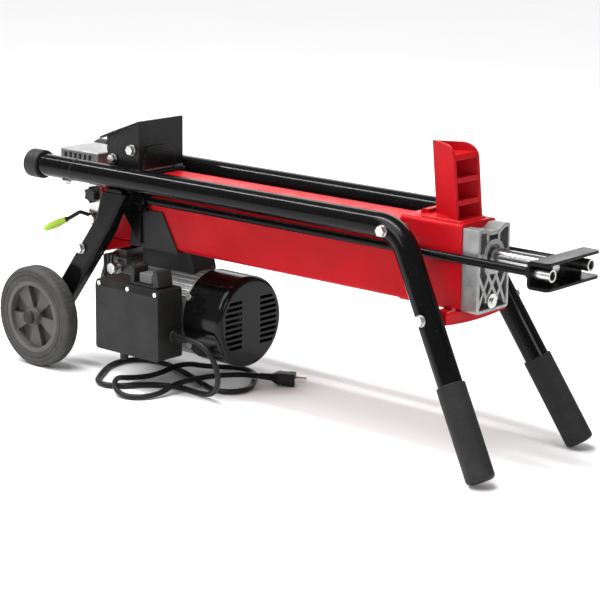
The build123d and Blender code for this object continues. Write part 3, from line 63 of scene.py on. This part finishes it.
# ---------------------------------------------------------------- material tools
class Shader:
    """A material with a Principled surface and small helpers for its nodes."""

    def __init__(self, name):
        self.material = bpy.data.materials.new(name)
        self.material.use_nodes = True
        self.tree = self.material.node_tree
        self.surface = self.tree.nodes["Principled BSDF"]
        self.place = self.node("ShaderNodeTexCoord").outputs["Object"]

    def node(self, kind, **settings):
        made = self.tree.nodes.new(kind)
        for key, value in settings.items():
            setattr(made, key, value)
        return made

    def feed(self, socket, value):
        if isinstance(value, bpy.types.NodeSocket):
            self.tree.links.new(value, socket)
        else:
            socket.default_value = value

    def set(self, **values):
        for key, value in values.items():
            self.feed(self.surface.inputs[key.replace("_", " ")], value)

    def noise(self, scale, detail=3.0, roughness=0.55, stretch=None):
        made = self.node("ShaderNodeTexNoise")
        made.inputs["Scale"].default_value = scale
        made.inputs["Detail"].default_value = detail
        made.inputs["Roughness"].default_value = roughness
        vector = self.place
        if stretch:
            mapping = self.node("ShaderNodeMapping")
            mapping.inputs["Scale"].default_value = stretch
            self.feed(mapping.inputs["Vector"], vector)
            vector = mapping.outputs["Vector"]
        self.feed(made.inputs["Vector"], vector)
        return made.outputs["Fac"]

    def cells(self, scale):
        made = self.node("ShaderNodeTexVoronoi", feature="F1")
        made.inputs["Scale"].default_value = scale
        self.feed(made.inputs["Vector"], self.place)
        return made.outputs["Distance"]

    def math(self, operation, a, b):
        made = self.node("ShaderNodeMath", operation=operation)
        self.feed(made.inputs[0], a)
        self.feed(made.inputs[1], b)
        return made.outputs["Value"]

    def fit(self, value, low, high, to_low=0.0, to_high=1.0):
        made = self.node("ShaderNodeMapRange", interpolation_type="SMOOTHSTEP")
        for key, given in zip(("Value", "From Min", "From Max", "To Min", "To Max"),
                              (value, low, high, to_low, to_high)):
            self.feed(made.inputs[key], given)
        return made.outputs["Result"]

    def blend(self, share, a, b):
        made = self.node("ShaderNodeMix", data_type="RGBA")
        colour_a, colour_b, colour_out = 6, 7, 2
        self.feed(made.inputs["Factor"], share)
        self.feed(made.inputs[colour_a], a)
        self.feed(made.inputs[colour_b], b)
        return made.outputs[colour_out]

    def axis(self, letter):
        split = self.node("ShaderNodeSeparateXYZ")
        self.feed(split.inputs[0], self.place)
        return split.outputs[letter]

    def soft_edges(self, radius):
        """Normal that rounds sharp edges by a few tenths of a millimetre."""
        made = self.node("ShaderNodeBevel", samples=4)
        made.inputs["Radius"].default_value = radius
        return made.outputs["Normal"]

    def worn_edges(self, radius, low=0.02, high=0.2):
        """Mask that is 1 on sharp edges and 0 on flat surfaces."""
        rounded = self.soft_edges(radius)
        flat = self.node("ShaderNodeNewGeometry").outputs["Normal"]
        dot = self.node("ShaderNodeVectorMath", operation="DOT_PRODUCT")
        self.feed(dot.inputs[0], rounded)
        self.feed(dot.inputs[1], flat)
        return self.fit(self.math("SUBTRACT", 1.0, dot.outputs["Value"]), low, high)

    def bump(self, height, depth, strength=1.0, under=None):
        made = self.node("ShaderNodeBump")
        made.inputs["Strength"].default_value = strength
        made.inputs["Distance"].default_value = depth
        self.feed(made.inputs["Height"], height)
        if under is not None:
            self.feed(made.inputs["Normal"], under)
        return made.outputs["Normal"]


def rgb(r, g, b):
    return (r, g, b, 1.0)


def enamel(name, colour, roughness=0.22, shine=0.25, wear=0.35, steel=rgb(0.32, 0.31, 0.3), peel=0.00006):
    """Sprayed gloss paint: slight orange peel, uneven sheen, dust and thin spots on the edges."""
    s = Shader(name)
    cloud = s.noise(9, 4)
    deep = tuple(c * 0.8 for c in colour[:3]) + (1.0,)
    base = s.blend(s.fit(cloud, 0.35, 0.7), colour, deep)
    specks = s.fit(s.noise(700, 2), 0.66, 0.74, 0.0, 0.12)
    base = s.blend(specks, base, rgb(0.35, 0.33, 0.3))
    edges = s.math("MULTIPLY", s.worn_edges(0.0009, 0.05, 0.3), s.fit(s.noise(160, 4), 0.52, 0.66, 0.0, wear))
    base = s.blend(edges, base, steel)
    rough = s.fit(s.noise(24, 5), 0.3, 0.75, roughness * 0.8, roughness * 1.35)
    normal = s.bump(s.noise(420, 2), peel, 0.5, s.soft_edges(0.0009))
    s.set(Base_Color=base, Roughness=rough, Normal=normal, Specular_IOR_Level=shine)
    return s.material


def bare_metal(name, colour, roughness=0.3, brush=None, mottling=0.12):
    """Plated or machined metal with a fine grain, brushed along an axis where brush is given."""
    s = Shader(name)
    dull = tuple(c * (1 - 1.6 * mottling) for c in colour[:3]) + (1.0,)
    base = s.blend(s.fit(s.noise(55, 5), 0.3, 0.72), colour, dull)
    stain = s.fit(s.noise(14, 3), 0.6, 0.78, 0.0, 0.25)
    base = s.blend(stain, base, rgb(0.42, 0.38, 0.3))
    grain = s.noise(900, 2, stretch=brush)
    rough = s.fit(grain, 0.25, 0.75, roughness * 0.75, roughness * 1.35)
    normal = s.bump(grain, 0.00003, 0.6, s.soft_edges(0.0006))
    s.set(Base_Color=base, Roughness=rough, Normal=normal, Metallic=1.0)
    return s.material


def casting(name, colour, roughness=0.5, grain=0.00016, metallic=0.0, bright_edges=0.5, bright=rgb(0.6, 0.6, 0.6)):
    """Sand or die cast skin: pitted grain, smoky patches, brighter on rubbed edges."""
    s = Shader(name)
    smoky = tuple(c * 0.68 for c in colour[:3]) + (1.0,)
    base = s.blend(s.fit(s.noise(30, 6, 0.65), 0.3, 0.7), colour, smoky)
    rubbed = s.math("MULTIPLY", s.worn_edges(0.0012, 0.03, 0.25), s.fit(s.noise(90, 4), 0.4, 0.65, 0.0, bright_edges))
    base = s.blend(rubbed, base, bright)
    rough = s.fit(s.noise(200, 4), 0.3, 0.75, roughness * 0.8, roughness * 1.2)
    pits = s.math("ADD", s.noise(520, 5, 0.7), s.math("MULTIPLY", s.noise(140, 3), 0.7))
    s.set(Base_Color=base, Roughness=rough, Metallic=metallic, Normal=s.bump(pits, grain, 0.7, s.soft_edges(0.0012)))
    return s.material


def moulded(name, colour, roughness=0.45, grain=900, depth=0.00004, scuff=0.25):
    """Moulded plastic with a fine spark-eroded texture and light scuffs."""
    s = Shader(name)
    pale = tuple(min(1, c * 1.7 + 0.01) for c in colour[:3]) + (1.0,)
    base = s.blend(s.fit(s.noise(18, 4), 0.45, 0.8, 0.0, 0.5), colour, pale)
    rubbed = s.math("MULTIPLY", s.worn_edges(0.001, 0.03, 0.3), s.fit(s.noise(120, 3), 0.45, 0.7, 0.0, scuff))
    base = s.blend(rubbed, base, rgb(0.2, 0.2, 0.2))
    rough = s.fit(s.noise(40, 4), 0.3, 0.75, roughness * 0.85, roughness * 1.2)
    normal = s.bump(s.noise(grain, 3), depth, 0.6, s.soft_edges(0.0008))
    s.set(Base_Color=base, Roughness=rough, Normal=normal, Specular_IOR_Level=0.25)
    return s.material


def rubber(name, colour, roughness=0.7, depth=0.00012, dust=0.3, grain=650):
    """Matte rubber or foam with a pebbled skin and dust in its hollows."""
    s = Shader(name)
    pebbles = s.cells(grain)
    grey = tuple(c * 2.2 + 0.015 for c in colour[:3]) + (1.0,)
    base = s.blend(s.fit(s.noise(22, 5, 0.65), 0.4, 0.8, 0.0, dust * 1.6), colour, grey)
    base = s.blend(s.fit(pebbles, 0.0, 0.5, dust, 0.0), base, grey)
    rough = s.fit(s.noise(60, 4), 0.3, 0.75, roughness * 0.88, min(1.0, roughness * 1.15))
    height = s.math("ADD", pebbles, s.math("MULTIPLY", s.noise(90, 4), 0.8))
    s.set(Base_Color=base, Roughness=rough, Specular_IOR_Level=0.2,
          Normal=s.bump(height, depth, 0.7, s.soft_edges(0.001)))
    return s.material


# ---------------------------------------------------------------- materials
red_paint = enamel("red enamel", rgb(0.47, 0.004, 0.009), 0.36, 0.1, 0.12, rgb(0.75, 0.3, 0.25))
red_casting = enamel("red casting", rgb(0.46, 0.004, 0.009), 0.38, 0.1, 0.15, rgb(0.75, 0.3, 0.25), peel=0.00018)
black_paint = enamel("black gloss enamel", rgb(0.003, 0.003, 0.003), 0.15, 0.13, 0.2)
black_satin = enamel("black satin enamel", rgb(0.003, 0.003, 0.003), 0.24, 0.11, 0.25)
cover_gloss = enamel("fan cover gloss", rgb(0.003, 0.003, 0.003), 0.13, 0.2, 0.15)
saddle_paint = enamel("charcoal enamel", rgb(0.026, 0.026, 0.026), 0.42, 0.15, 0.35)
zinc = bare_metal("zinc plate", rgb(0.66, 0.66, 0.64), 0.3)
machined = bare_metal("machined steel", rgb(0.5, 0.5, 0.5), 0.28, (1, 12, 12))
chrome = bare_metal("hard chrome", rgb(0.46, 0.46, 0.46), 0.17, (12, 1, 1), 0.03)
iron = bare_metal("cast iron, machined", rgb(0.25, 0.25, 0.25), 0.42)
plug_metal = bare_metal("nickel plate", rgb(0.72, 0.69, 0.6), 0.22, (1, 1, 12))
die_cast = casting("die cast aluminium", rgb(0.42, 0.42, 0.42), 0.46, 0.00014, 0.75, 0.6, rgb(0.75, 0.75, 0.75))
pump_casting = casting("bare pump casting", rgb(0.15, 0.15, 0.152), 0.45, 0.0002, 0.5, 0.5, rgb(0.5, 0.5, 0.5))
motor_silver = casting("silver motor shell", rgb(0.42, 0.42, 0.42), 0.36, 0.00005, 0.8, 0.5, rgb(0.8, 0.8, 0.8))
box_plastic = moulded("switch box plastic", rgb(0.007, 0.007, 0.0066), 0.45, 700, 0.00007)
black_plastic = moulded("black plastic", rgb(0.012, 0.012, 0.012), 0.38)
cap_plastic = moulded("end cap plastic", rgb(0.016, 0.016, 0.016), 0.55)
hub_plastic = moulded("hub plastic", rgb(0.075, 0.073, 0.071), 0.5, 800, 0.00006)
button_plastic = moulded("grey button plastic", rgb(0.09, 0.09, 0.095), 0.4)
tyre_rubber = rubber("tyre rubber", rgb(0.045, 0.044, 0.042), 0.72, 0.0001, 0.2)
grip_rubber = rubber("foam grip", rgb(0.014, 0.014, 0.014), 0.62, 0.00022, 0.25, 420)
cord_rubber = rubber("cord jacket", rgb(0.008, 0.008, 0.008), 0.42, 0.00003, 0.1, 900)
plug_rubber = rubber("plug moulding", rgb(0.009, 0.009, 0.009), 0.45, 0.00005, 0.12, 800)
lime_vinyl = moulded("lime vinyl", rgb(0.28, 0.46, 0.03), 0.36, 500, 0.00004, 0.1)


def pusher_paint():
    """Black plate whose lower front edge is rubbed bright by the beam."""
    s = Shader("pusher enamel")
    height = s.axis("Z")
    reach = s.axis("X")
    low = s.fit(height, 0.327, 0.321)
    front = s.fit(reach, -0.262, -0.258)
    patchy = s.fit(s.noise(70, 5, 0.7), 0.3, 0.55)
    rubbed = s.math("MULTIPLY", s.math("MULTIPLY", low, front), patchy)
    edges = s.math("MULTIPLY", s.worn_edges(0.0009, 0.04, 0.25), s.fit(s.noise(140, 4), 0.45, 0.65, 0.0, 0.5))
    mask = s.math("MAXIMUM", rubbed, edges)
    base = s.blend(mask, rgb(0.006, 0.006, 0.006), rgb(0.55, 0.54, 0.52))
    base = s.blend(s.fit(s.noise(26, 5), 0.5, 0.8, 0.0, 0.15), base, rgb(0.04, 0.04, 0.04))
    normal = s.bump(s.noise(300, 3), 0.00008, 0.6, s.soft_edges(0.001))
    s.set(Base_Color=base, Roughness=s.fit(s.noise(20, 5), 0.3, 0.75, 0.2, 0.36), Metallic=mask,
          Normal=normal, Specular_IOR_Level=0.22)
    return s.material


pusher_black = pusher_paint()

FINISHES = {
    red_paint: ("beam_housing", "front_cross_bracket", "rear_cross_bracket"),
    red_casting: ("wedge",),
    black_paint: ("guard_rail_near", "guard_rail_far", "rear_leg_near", "rear_leg_far", "control_lever"),
    black_satin: ("yoke", "pusher_slide", "tie_rods", "ram_nuts"),
    pusher_black: ("pusher_plate",),
    cover_gloss: ("fan_cover",),
    saddle_paint: ("motor_saddle",),
    zinc: ("oil_drain_plug", "small_screws", "yoke_sleeve_nuts", "pusher_bolts", "frame_bolts", "axle",
           "lever_bracket", "oil_fitting"),
    machined: ("cylinder_tube", "piston", "return_spring", "valve_spool", "rotor", "motor_bearings", "drive_gear",
               "driven_gear"),
    chrome: ("piston_rod",),
    iron: ("rod_bush", "stator"),
    plug_metal: ("plug_prongs",),
    die_cast: ("end_cap", "valve_block"),
    pump_casting: ("pump_housing", "pump_cover"),
    motor_silver: ("motor_housing",),
    box_plastic: ("switch_box", "switch_box_cover"),
    black_plastic: ("switch_frame", "reset_button", "cooling_fan", "bleed_screw"),
    cap_plastic: ("rail_end_caps", "axle_caps"),
    hub_plastic: ("wheel_hub_near", "wheel_hub_far"),
    button_plastic: ("start_button",),
    tyre_rubber: ("tyre_near", "tyre_far", "piston_seal"),
    grip_rubber: ("foot_grips",),
    cord_rubber: ("power_cord", "cord_strain_relief"),
    plug_rubber: ("plug_body",),
    lime_vinyl: ("lever_grip",),
}
for material, names in FINISHES.items():
    for name in names:
        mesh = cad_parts[name].data
        mesh.materials.clear()
        mesh.materials.append(material)


# ---------------------------------------------------------------- mesh tools
def piece(name, mesh, material, body):
    """Scene object for a mesh, with its finish, riding on a body."""
    made = bpy.data.objects.new(name, mesh)
    bpy.context.scene.collection.objects.link(made)
    mesh.materials.append(material)
    for face in mesh.polygons:
        face.use_smooth = True
    mesh.set_sharp_from_angle(angle=math.radians(38))
    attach(made, body)
    return made


def square_frame(axis, clock=(0, 0, 1)):
    """Two directions square to an axis, the first as near to `clock` as it can be."""
    axis = Vector(axis).normalized()
    side = Vector(clock) - axis * axis.dot(Vector(clock))
    if side.length < 1e-3:
        side = Vector((1, 0, 0)) - axis * axis.x
    side.normalize()
    return axis, side, axis.cross(side)


def add_rings(bm, rings, closed=False):
    """Skin a list of equal rings of points; the ends are capped unless the run is closed."""
    made = [[bm.verts.new(point) for point in ring] for ring in rings]
    pairs = list(zip(made, made[1:]))
    if closed:
        pairs.append((made[-1], made[0]))
    for low, high in pairs:
        for index in range(len(low)):
            after = (index + 1) % len(low)
            bm.faces.new((low[index], low[after], high[after], high[index]))
    if not closed:
        bm.faces.new(list(reversed(made[0])))
        bm.faces.new(made[-1])


def finished_mesh(name, bm):
    bmesh.ops.recalc_face_normals(bm, faces=bm.faces)
    mesh = bpy.data.meshes.new(name)
    bm.to_mesh(mesh)
    bm.free()
    return mesh


def turned(bm, profile, centre, axis, segments=72, closed=False, wave=None):
    """Solid of revolution from (radius, distance along) pairs in millimetres."""
    axis, side, across = square_frame(axis)
    rings = []
    for radius, along in profile:
        ring = []
        for step in range(segments):
            angle = 2 * math.pi * step / segments
            reach = radius + (wave(angle, radius, along) if wave else 0)
            spoke = side * math.cos(angle) + across * math.sin(angle)
            ring.append(Vector(centre) + axis * along * MM + spoke * reach * MM)
        rings.append(ring)
    add_rings(bm, rings, closed)


def bead(bm, points, radius):
    """Weld bead: overlapping ripples along a line of points in millimetres."""
    pitch, squash, corners = 2.4, 0.8, 10
    path = [Vector(point) for point in points]
    rings = []
    for start, end in zip(path, path[1:]):
        run = end - start
        steps = max(2, round(run.length / pitch))
        axis, side, across = square_frame(run)
        for step in range(steps):
            for share, size in ((0.0, 0.78), (0.45, 1.06), (0.8, 1.0)):
                centre = start + run * ((step + share) / steps)
                wobble = 1 + random.uniform(-0.07, 0.07)
                ring = []
                for corner in range(corners):
                    angle = 2 * math.pi * corner / corners
                    offset = side * math.cos(angle) * squash + across * math.sin(angle)
                    ring.append((centre + offset * radius * size * wobble) * MM)
                rings.append(ring)
    add_rings(bm, rings)


# ---------------------------------------------------------------- cord, strain relief and plug
CORD_D = 8.4
GLAND_FACE = Vector((-148, -88, 92))
CORD_ROUTE = [
    # out of the gland and down to the floor
    (-116, -88, 92), (-92, -88, 92), (-72, -87, 80), (-60.5, -84, 60), (-60.5, -79, 37), (-72, -73, 17.3),
    (-93, -68, 6.5),
    # along the near side and round the rear loop
    (-122, -64, 4.6), (-154, -62, 4.6), (-186, -70, 4.6), (-210, -90, 4.6), (-226, -116, 4.6), (-248, -132, 4.6),
    (-274, -126, 4.6), (-292, -104, 4.6), (-308, -80, 4.6), (-324, -54, 4.6), (-332, -26, 4.6), (-324, 0, 4.6),
    (-302, 16, 4.6), (-272, 19, 4.6), (-242, 12, 4.6), (-210, 2, 4.6), (-176, -10, 4.6),
    # round the front loop
    (-144, -25, 4.6), (-116, -36, 4.6), (-90, -34, 4.6), (-75, -13, 4.6), (-79, 13, 4.6), (-96, 38, 4.6),
    (-114, 62, 4.6), (-138, 80, 4.6), (-166, 82, 4.6), (-190, 66, 4.6),
    # over the first strand, then down the inside of the rear loop
    (-206, 42, 8), (-216, 18, 14.8), (-223, -6, 14.8), (-229, -32, 7), (-238, -60, 4.6),
    # over the rear loop and back along the floor
    (-245, -88, 8), (-240, -114, 14.8), (-225, -136, 14.8), (-202, -152, 7), (-176, -151, 4.6), (-157, -132, 4.6),
    # over three strands in a row to the plug
    (-153, -106, 6), (-153, -82, 13), (-150, -58, 14.8), (-148, -34, 14.8), (-141, -10, 14.8), (-128, 12, 14.8),
    (-110, 32, 14.8), (-90, 46, 13.4),
]
cord_line = bpy.data.curves.new("cord", "CURVE")
cord_line.dimensions = "3D"
spline = cord_line.splines.new("NURBS")
spline.points.add(len(CORD_ROUTE) - 1)
for point, place in zip(spline.points, CORD_ROUTE):
    point.co = (*(Vector(place) * MM), 1)
spline.order_u = 3
spline.use_endpoint_u = True
spline.resolution_u = 10
cord_line.bevel_depth = CORD_D / 2 * MM
cord_line.bevel_resolution = 6
cord_line.use_fill_caps = True
cord_line.materials.append(cord_rubber)
cord = bpy.data.objects.new("cord", cord_line)
bpy.context.scene.collection.objects.link(cord)
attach(cord, "frame")
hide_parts("power_cord")

RELIEF_RIBS, RIB_PITCH, RIB_DEPTH = 7, 3.2, 1.1
relief = bmesh.new()
relief_profile = [(9.5, 0), (9.8, 1.2), (9.8, 4.6), (9.2, 5.8), (7.4, 6)]
for rib in range(RELIEF_RIBS):
    outer = 7.4 - 0.24 * rib
    inner = outer - RIB_DEPTH
    start = 7 + rib * RIB_PITCH
    relief_profile += [(outer, start), (outer, start + 1.9), (inner, start + 2.1), (inner, start + 3.1)]
relief_profile += [(5.4, 31.4), (4.9, 32)]
turned(relief, relief_profile, GLAND_FACE * MM, (1, 0, 0), 48)
relief_piece = piece("strain_relief", finished_mesh("strain_relief", relief), cord_rubber, "frame")
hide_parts("cord_strain_relief")

PLUG_FROM = Vector(CORD_ROUTE[-1])
PLUG_POINTS = 40
plug_axis = (PLUG_FROM - Vector(CORD_ROUTE[-2])).normalized()
PLUG_SECTIONS = (
    # distance along, width, thickness, corner squareness
    (0, 10, 10, 2), (3, 10.4, 10.4, 2), (5, 9.6, 9.6, 2), (8, 10.8, 10.8, 2), (10, 10, 10, 2), (13, 11.6, 11.4, 2),
    (15, 10.8, 10.6, 2), (18, 13, 12.2, 2.2), (21, 17.5, 14.2, 2.8), (26, 23, 18.4, 4), (29, 24.6, 19.6, 5),
    (34, 22.4, 18.6, 5), (36, 23.4, 19.4, 5), (38, 22.2, 18.6, 5), (40, 23.2, 19.4, 5), (42, 22.2, 18.6, 5),
    (45, 24.4, 19.8, 6), (52, 24.8, 20, 6), (53.6, 24.2, 19.4, 6), (54, 22.6, 18, 6),
)


def plug_ring(along, width, thick, power):
    """Rounded-rectangle section of the plug."""
    axis, thick_way, wide_way = square_frame(plug_axis)
    ring = []
    for step in range(PLUG_POINTS):
        angle = 2 * math.pi * step / PLUG_POINTS
        c, s = math.cos(angle), math.sin(angle)
        a = math.copysign(abs(c) ** (2 / power), c) * thick / 2
        b = math.copysign(abs(s) ** (2 / power), s) * width / 2
        ring.append((PLUG_FROM + axis * along + thick_way * a + wide_way * b) * MM)
    return ring


plug = bmesh.new()
add_rings(plug, [plug_ring(*section) for section in PLUG_SECTIONS])
plug_piece = piece("plug", finished_mesh("plug", plug), plug_rubber, "frame")
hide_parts("plug_body")

# ---------------------------------------------------------------- wheels
AXLE_X, AXLE_Z, WHEEL_Y, CAP_FACE_Y = -425, 80, 109, 132.5
HUB_FACE = 7
TREAD_R, TREAD_GROOVES, GROOVE_SHARE, GROOVE_DEPTH = 79.4, 60, 0.22, 0.8


def tread(angle, radius, along):
    """Shallow cross grooves round the tread."""
    if radius < TREAD_R:
        return 0
    return -GROOVE_DEPTH if (angle * TREAD_GROOVES / (2 * math.pi)) % 1 < GROOVE_SHARE else 0


for side, label in ((NEAR, "near"), (FAR, "far")):
    centre = Vector((AXLE_X, side * WHEEL_Y, AXLE_Z)) * MM
    tyre = bmesh.new()
    section = [(57.9, -14.6), (61.5, -15), (64.6, -15), (65.2, -14), (67, -14), (67.6, -15), (71, -15), (71.6, -14.3),
               (73, -14.3), (73.6, -14.9), (75.5, -14.2), (78, -12.4), (79.3, -9.6)]
    section += [(79.9, -8.4), (79.9, -4), (78.4, -3.6), (78.4, -2.4), (79.9, -2)]
    section += [(radius, -along) for radius, along in reversed(section)]
    turned(tyre, section, centre, (0, side, 0), 240, closed=True, wave=tread)
    tyre_piece = piece(f"tyre_tread_{label}", finished_mesh("tyre", tyre), tyre_rubber, f"wheel_{label}")
    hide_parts(f"tyre_{label}")

    hub = bmesh.new()
    hub_face = centre + Vector((0, side, 0)) * HUB_FACE * MM
    ring_lip = [(50.4, -2), (50.4, 3), (52, 6.2), (54.6, 6.8), (57, 6.2), (57.6, 3), (57.6, -2)]
    turned(hub, ring_lip, hub_face, (0, side, 0), 120, closed=True)
    piece(f"hub_ribs_{label}", finished_mesh("hub_ribs", hub), hub_plastic, f"wheel_{label}")

    cap = bmesh.new()
    cap_face = Vector((AXLE_X, side * CAP_FACE_Y, AXLE_Z)) * MM
    turned(cap, [(8.8, -3.2), (9.2, 0.2), (8.2, 0.4), (7.8, -0.4), (5, -0.2), (4.6, 0.5), (0.6, 0.7)], cap_face,
           (0, side, 0), 48)
    piece(f"axle_cap_face_{label}", finished_mesh("cap_face", cap), cap_plastic, "frame")

# ---------------------------------------------------------------- motor ribs
MOTOR_Z, MOTOR_R, RIB_ROOT_R, RIB_HEIGHT = 111.6, 66.5, 65.9, 1.1
RIB_COUNT, RIB_REAR, RIB_FRONT = 44, -276, -148
RIB_SECTION = ((-1.7, 0), (1.7, 0), (1.3, 0.8), (0.7, 1), (-0.7, 1), (-1.3, 0.8))
ribs = bmesh.new()
for index in range(RIB_COUNT):
    turn = 2 * math.pi * index / RIB_COUNT
    out = Vector((0, math.cos(turn), math.sin(turn)))
    along = Vector((0, -math.sin(turn), math.cos(turn)))
    behind_box = out.y < 0 and abs(out.z) < 0.34
    beside_box = out.y < -0.2 and abs(out.z) < 0.85
    under_saddle = out.z > 0.92
    if behind_box:
        continue
    ends = (RIB_REAR, RIB_FRONT)
    if beside_box:
        ends = (RIB_REAR, -150)
    elif under_saddle:
        ends = (-161, RIB_FRONT)
    rings = []
    for x, height in ((ends[0], 0.2), (ends[0] + 3, RIB_HEIGHT), (ends[1] - 3, RIB_HEIGHT), (ends[1], 0.2)):
        foot = Vector((x, 0, MOTOR_Z))
        rings.append([(foot + out * (RIB_ROOT_R if b == 0 else MOTOR_R + height * b) + along * a) * MM
                      for a, b in RIB_SECTION])
    add_rings(ribs, rings)
piece("motor_ribs", finished_mesh("motor_ribs", ribs), motor_silver, "frame")

# ---------------------------------------------------------------- rail seams
SEAM_X, RAIL_Y, RAIL_Z = -370, 71, 315
SEAM_PROFILE = [(17.4, -1), (17.85, -0.7), (17.85, 0.7), (17.4, 1)]
seams = bmesh.new()
for side in (NEAR, FAR):
    turned(seams, SEAM_PROFILE, Vector((SEAM_X, side * RAIL_Y, RAIL_Z)) * MM, (1, 0, 0), 64, closed=True)
piece("rail_seams", finished_mesh("rail_seams", seams), cap_plastic, "frame")

# ---------------------------------------------------------------- welds
def weld_pair(name, rear, front, y, z, radius, material, body):
    """One bead along each side of the machine, at plus and minus y."""
    bm = bmesh.new()
    for side in (NEAR, FAR):
        bead(bm, [(rear, side * y, z), (front, side * y, z)], radius)
    piece(name, finished_mesh(name, bm), material, body)


weld_pair("wedge_welds", 276, 334, 30.2, 326.4, 1.3, red_casting, "frame")
weld_pair("crown_welds", -300, -265, 78.4, 296.4, 1.7, black_paint, "frame")
weld_pair("pusher_welds", -324, -264, 36.8, 323, 1.6, pusher_black, "ram")

# ---------------------------------------------------------------- studio
FLOOR_HALF, FLOOR_Z = 30, -0.0005
floor_corners = [(x * FLOOR_HALF, y * FLOOR_HALF, FLOOR_Z) for x, y in ((-1, -1), (1, -1), (1, 1), (-1, 1))]
floor_mesh = bpy.data.meshes.new("floor")
floor_mesh.from_pydata(floor_corners, [], [(0, 1, 2, 3)])
floor = bpy.data.objects.new("floor", floor_mesh)
bpy.context.scene.collection.objects.link(floor)
floor_look = Shader("pale floor")
floor_look.set(Base_Color=floor_look.blend(floor_look.noise(2, 2), rgb(0.86, 0.86, 0.86), rgb(0.9, 0.9, 0.9)),
               Roughness=0.75)
floor_mesh.materials.append(floor_look.material)

world = bpy.data.worlds.new("studio")
bpy.context.scene.world = world
world.use_nodes = True
background = world.node_tree.nodes["Background"]
background.inputs["Color"].default_value = (1, 1, 1, 1)
background.inputs["Strength"].default_value = 0.25


def softbox(name, place, target, size, power):
    lamp = bpy.data.lights.new(name, "AREA")
    lamp.shape = "RECTANGLE"
    lamp.size, lamp.size_y = size
    lamp.energy = power
    lamp_object = bpy.data.objects.new(name, lamp)
    lamp_object.visible_camera = False
    bpy.context.scene.collection.objects.link(lamp_object)
    lamp_object.location = place
    lamp_object.rotation_euler = (Vector(target) - Vector(place)).to_track_quat("-Z", "Y").to_euler()


softbox("key", (-0.6, -2.6, 2.2), (0, 0, 0.25), (1.6, 0.8), 34)
softbox("strip", (-1.0, -0.42, 2.2), (-1.0, 0, 0.3), (3.0, 0.16), 60)
softbox("front", (3.2, -0.4, 1.3), (0.2, 0, 0.25), (0.8, 1.0), 26)
softbox("back", (-1.7, 2.7, 1.45), (0, 0, 0.3), (4.0, 1.3), 32)
sun = bpy.data.lights.new("sky", "SUN")
sun.energy = 2.8
sun.angle = math.radians(50)
sun_object = bpy.data.objects.new("sky", sun)
bpy.context.scene.collection.objects.link(sun_object)
sun_object.rotation_euler = (math.radians(18), math.radians(-12), 0)
bpy.context.scene.view_settings.view_transform = "Standard"
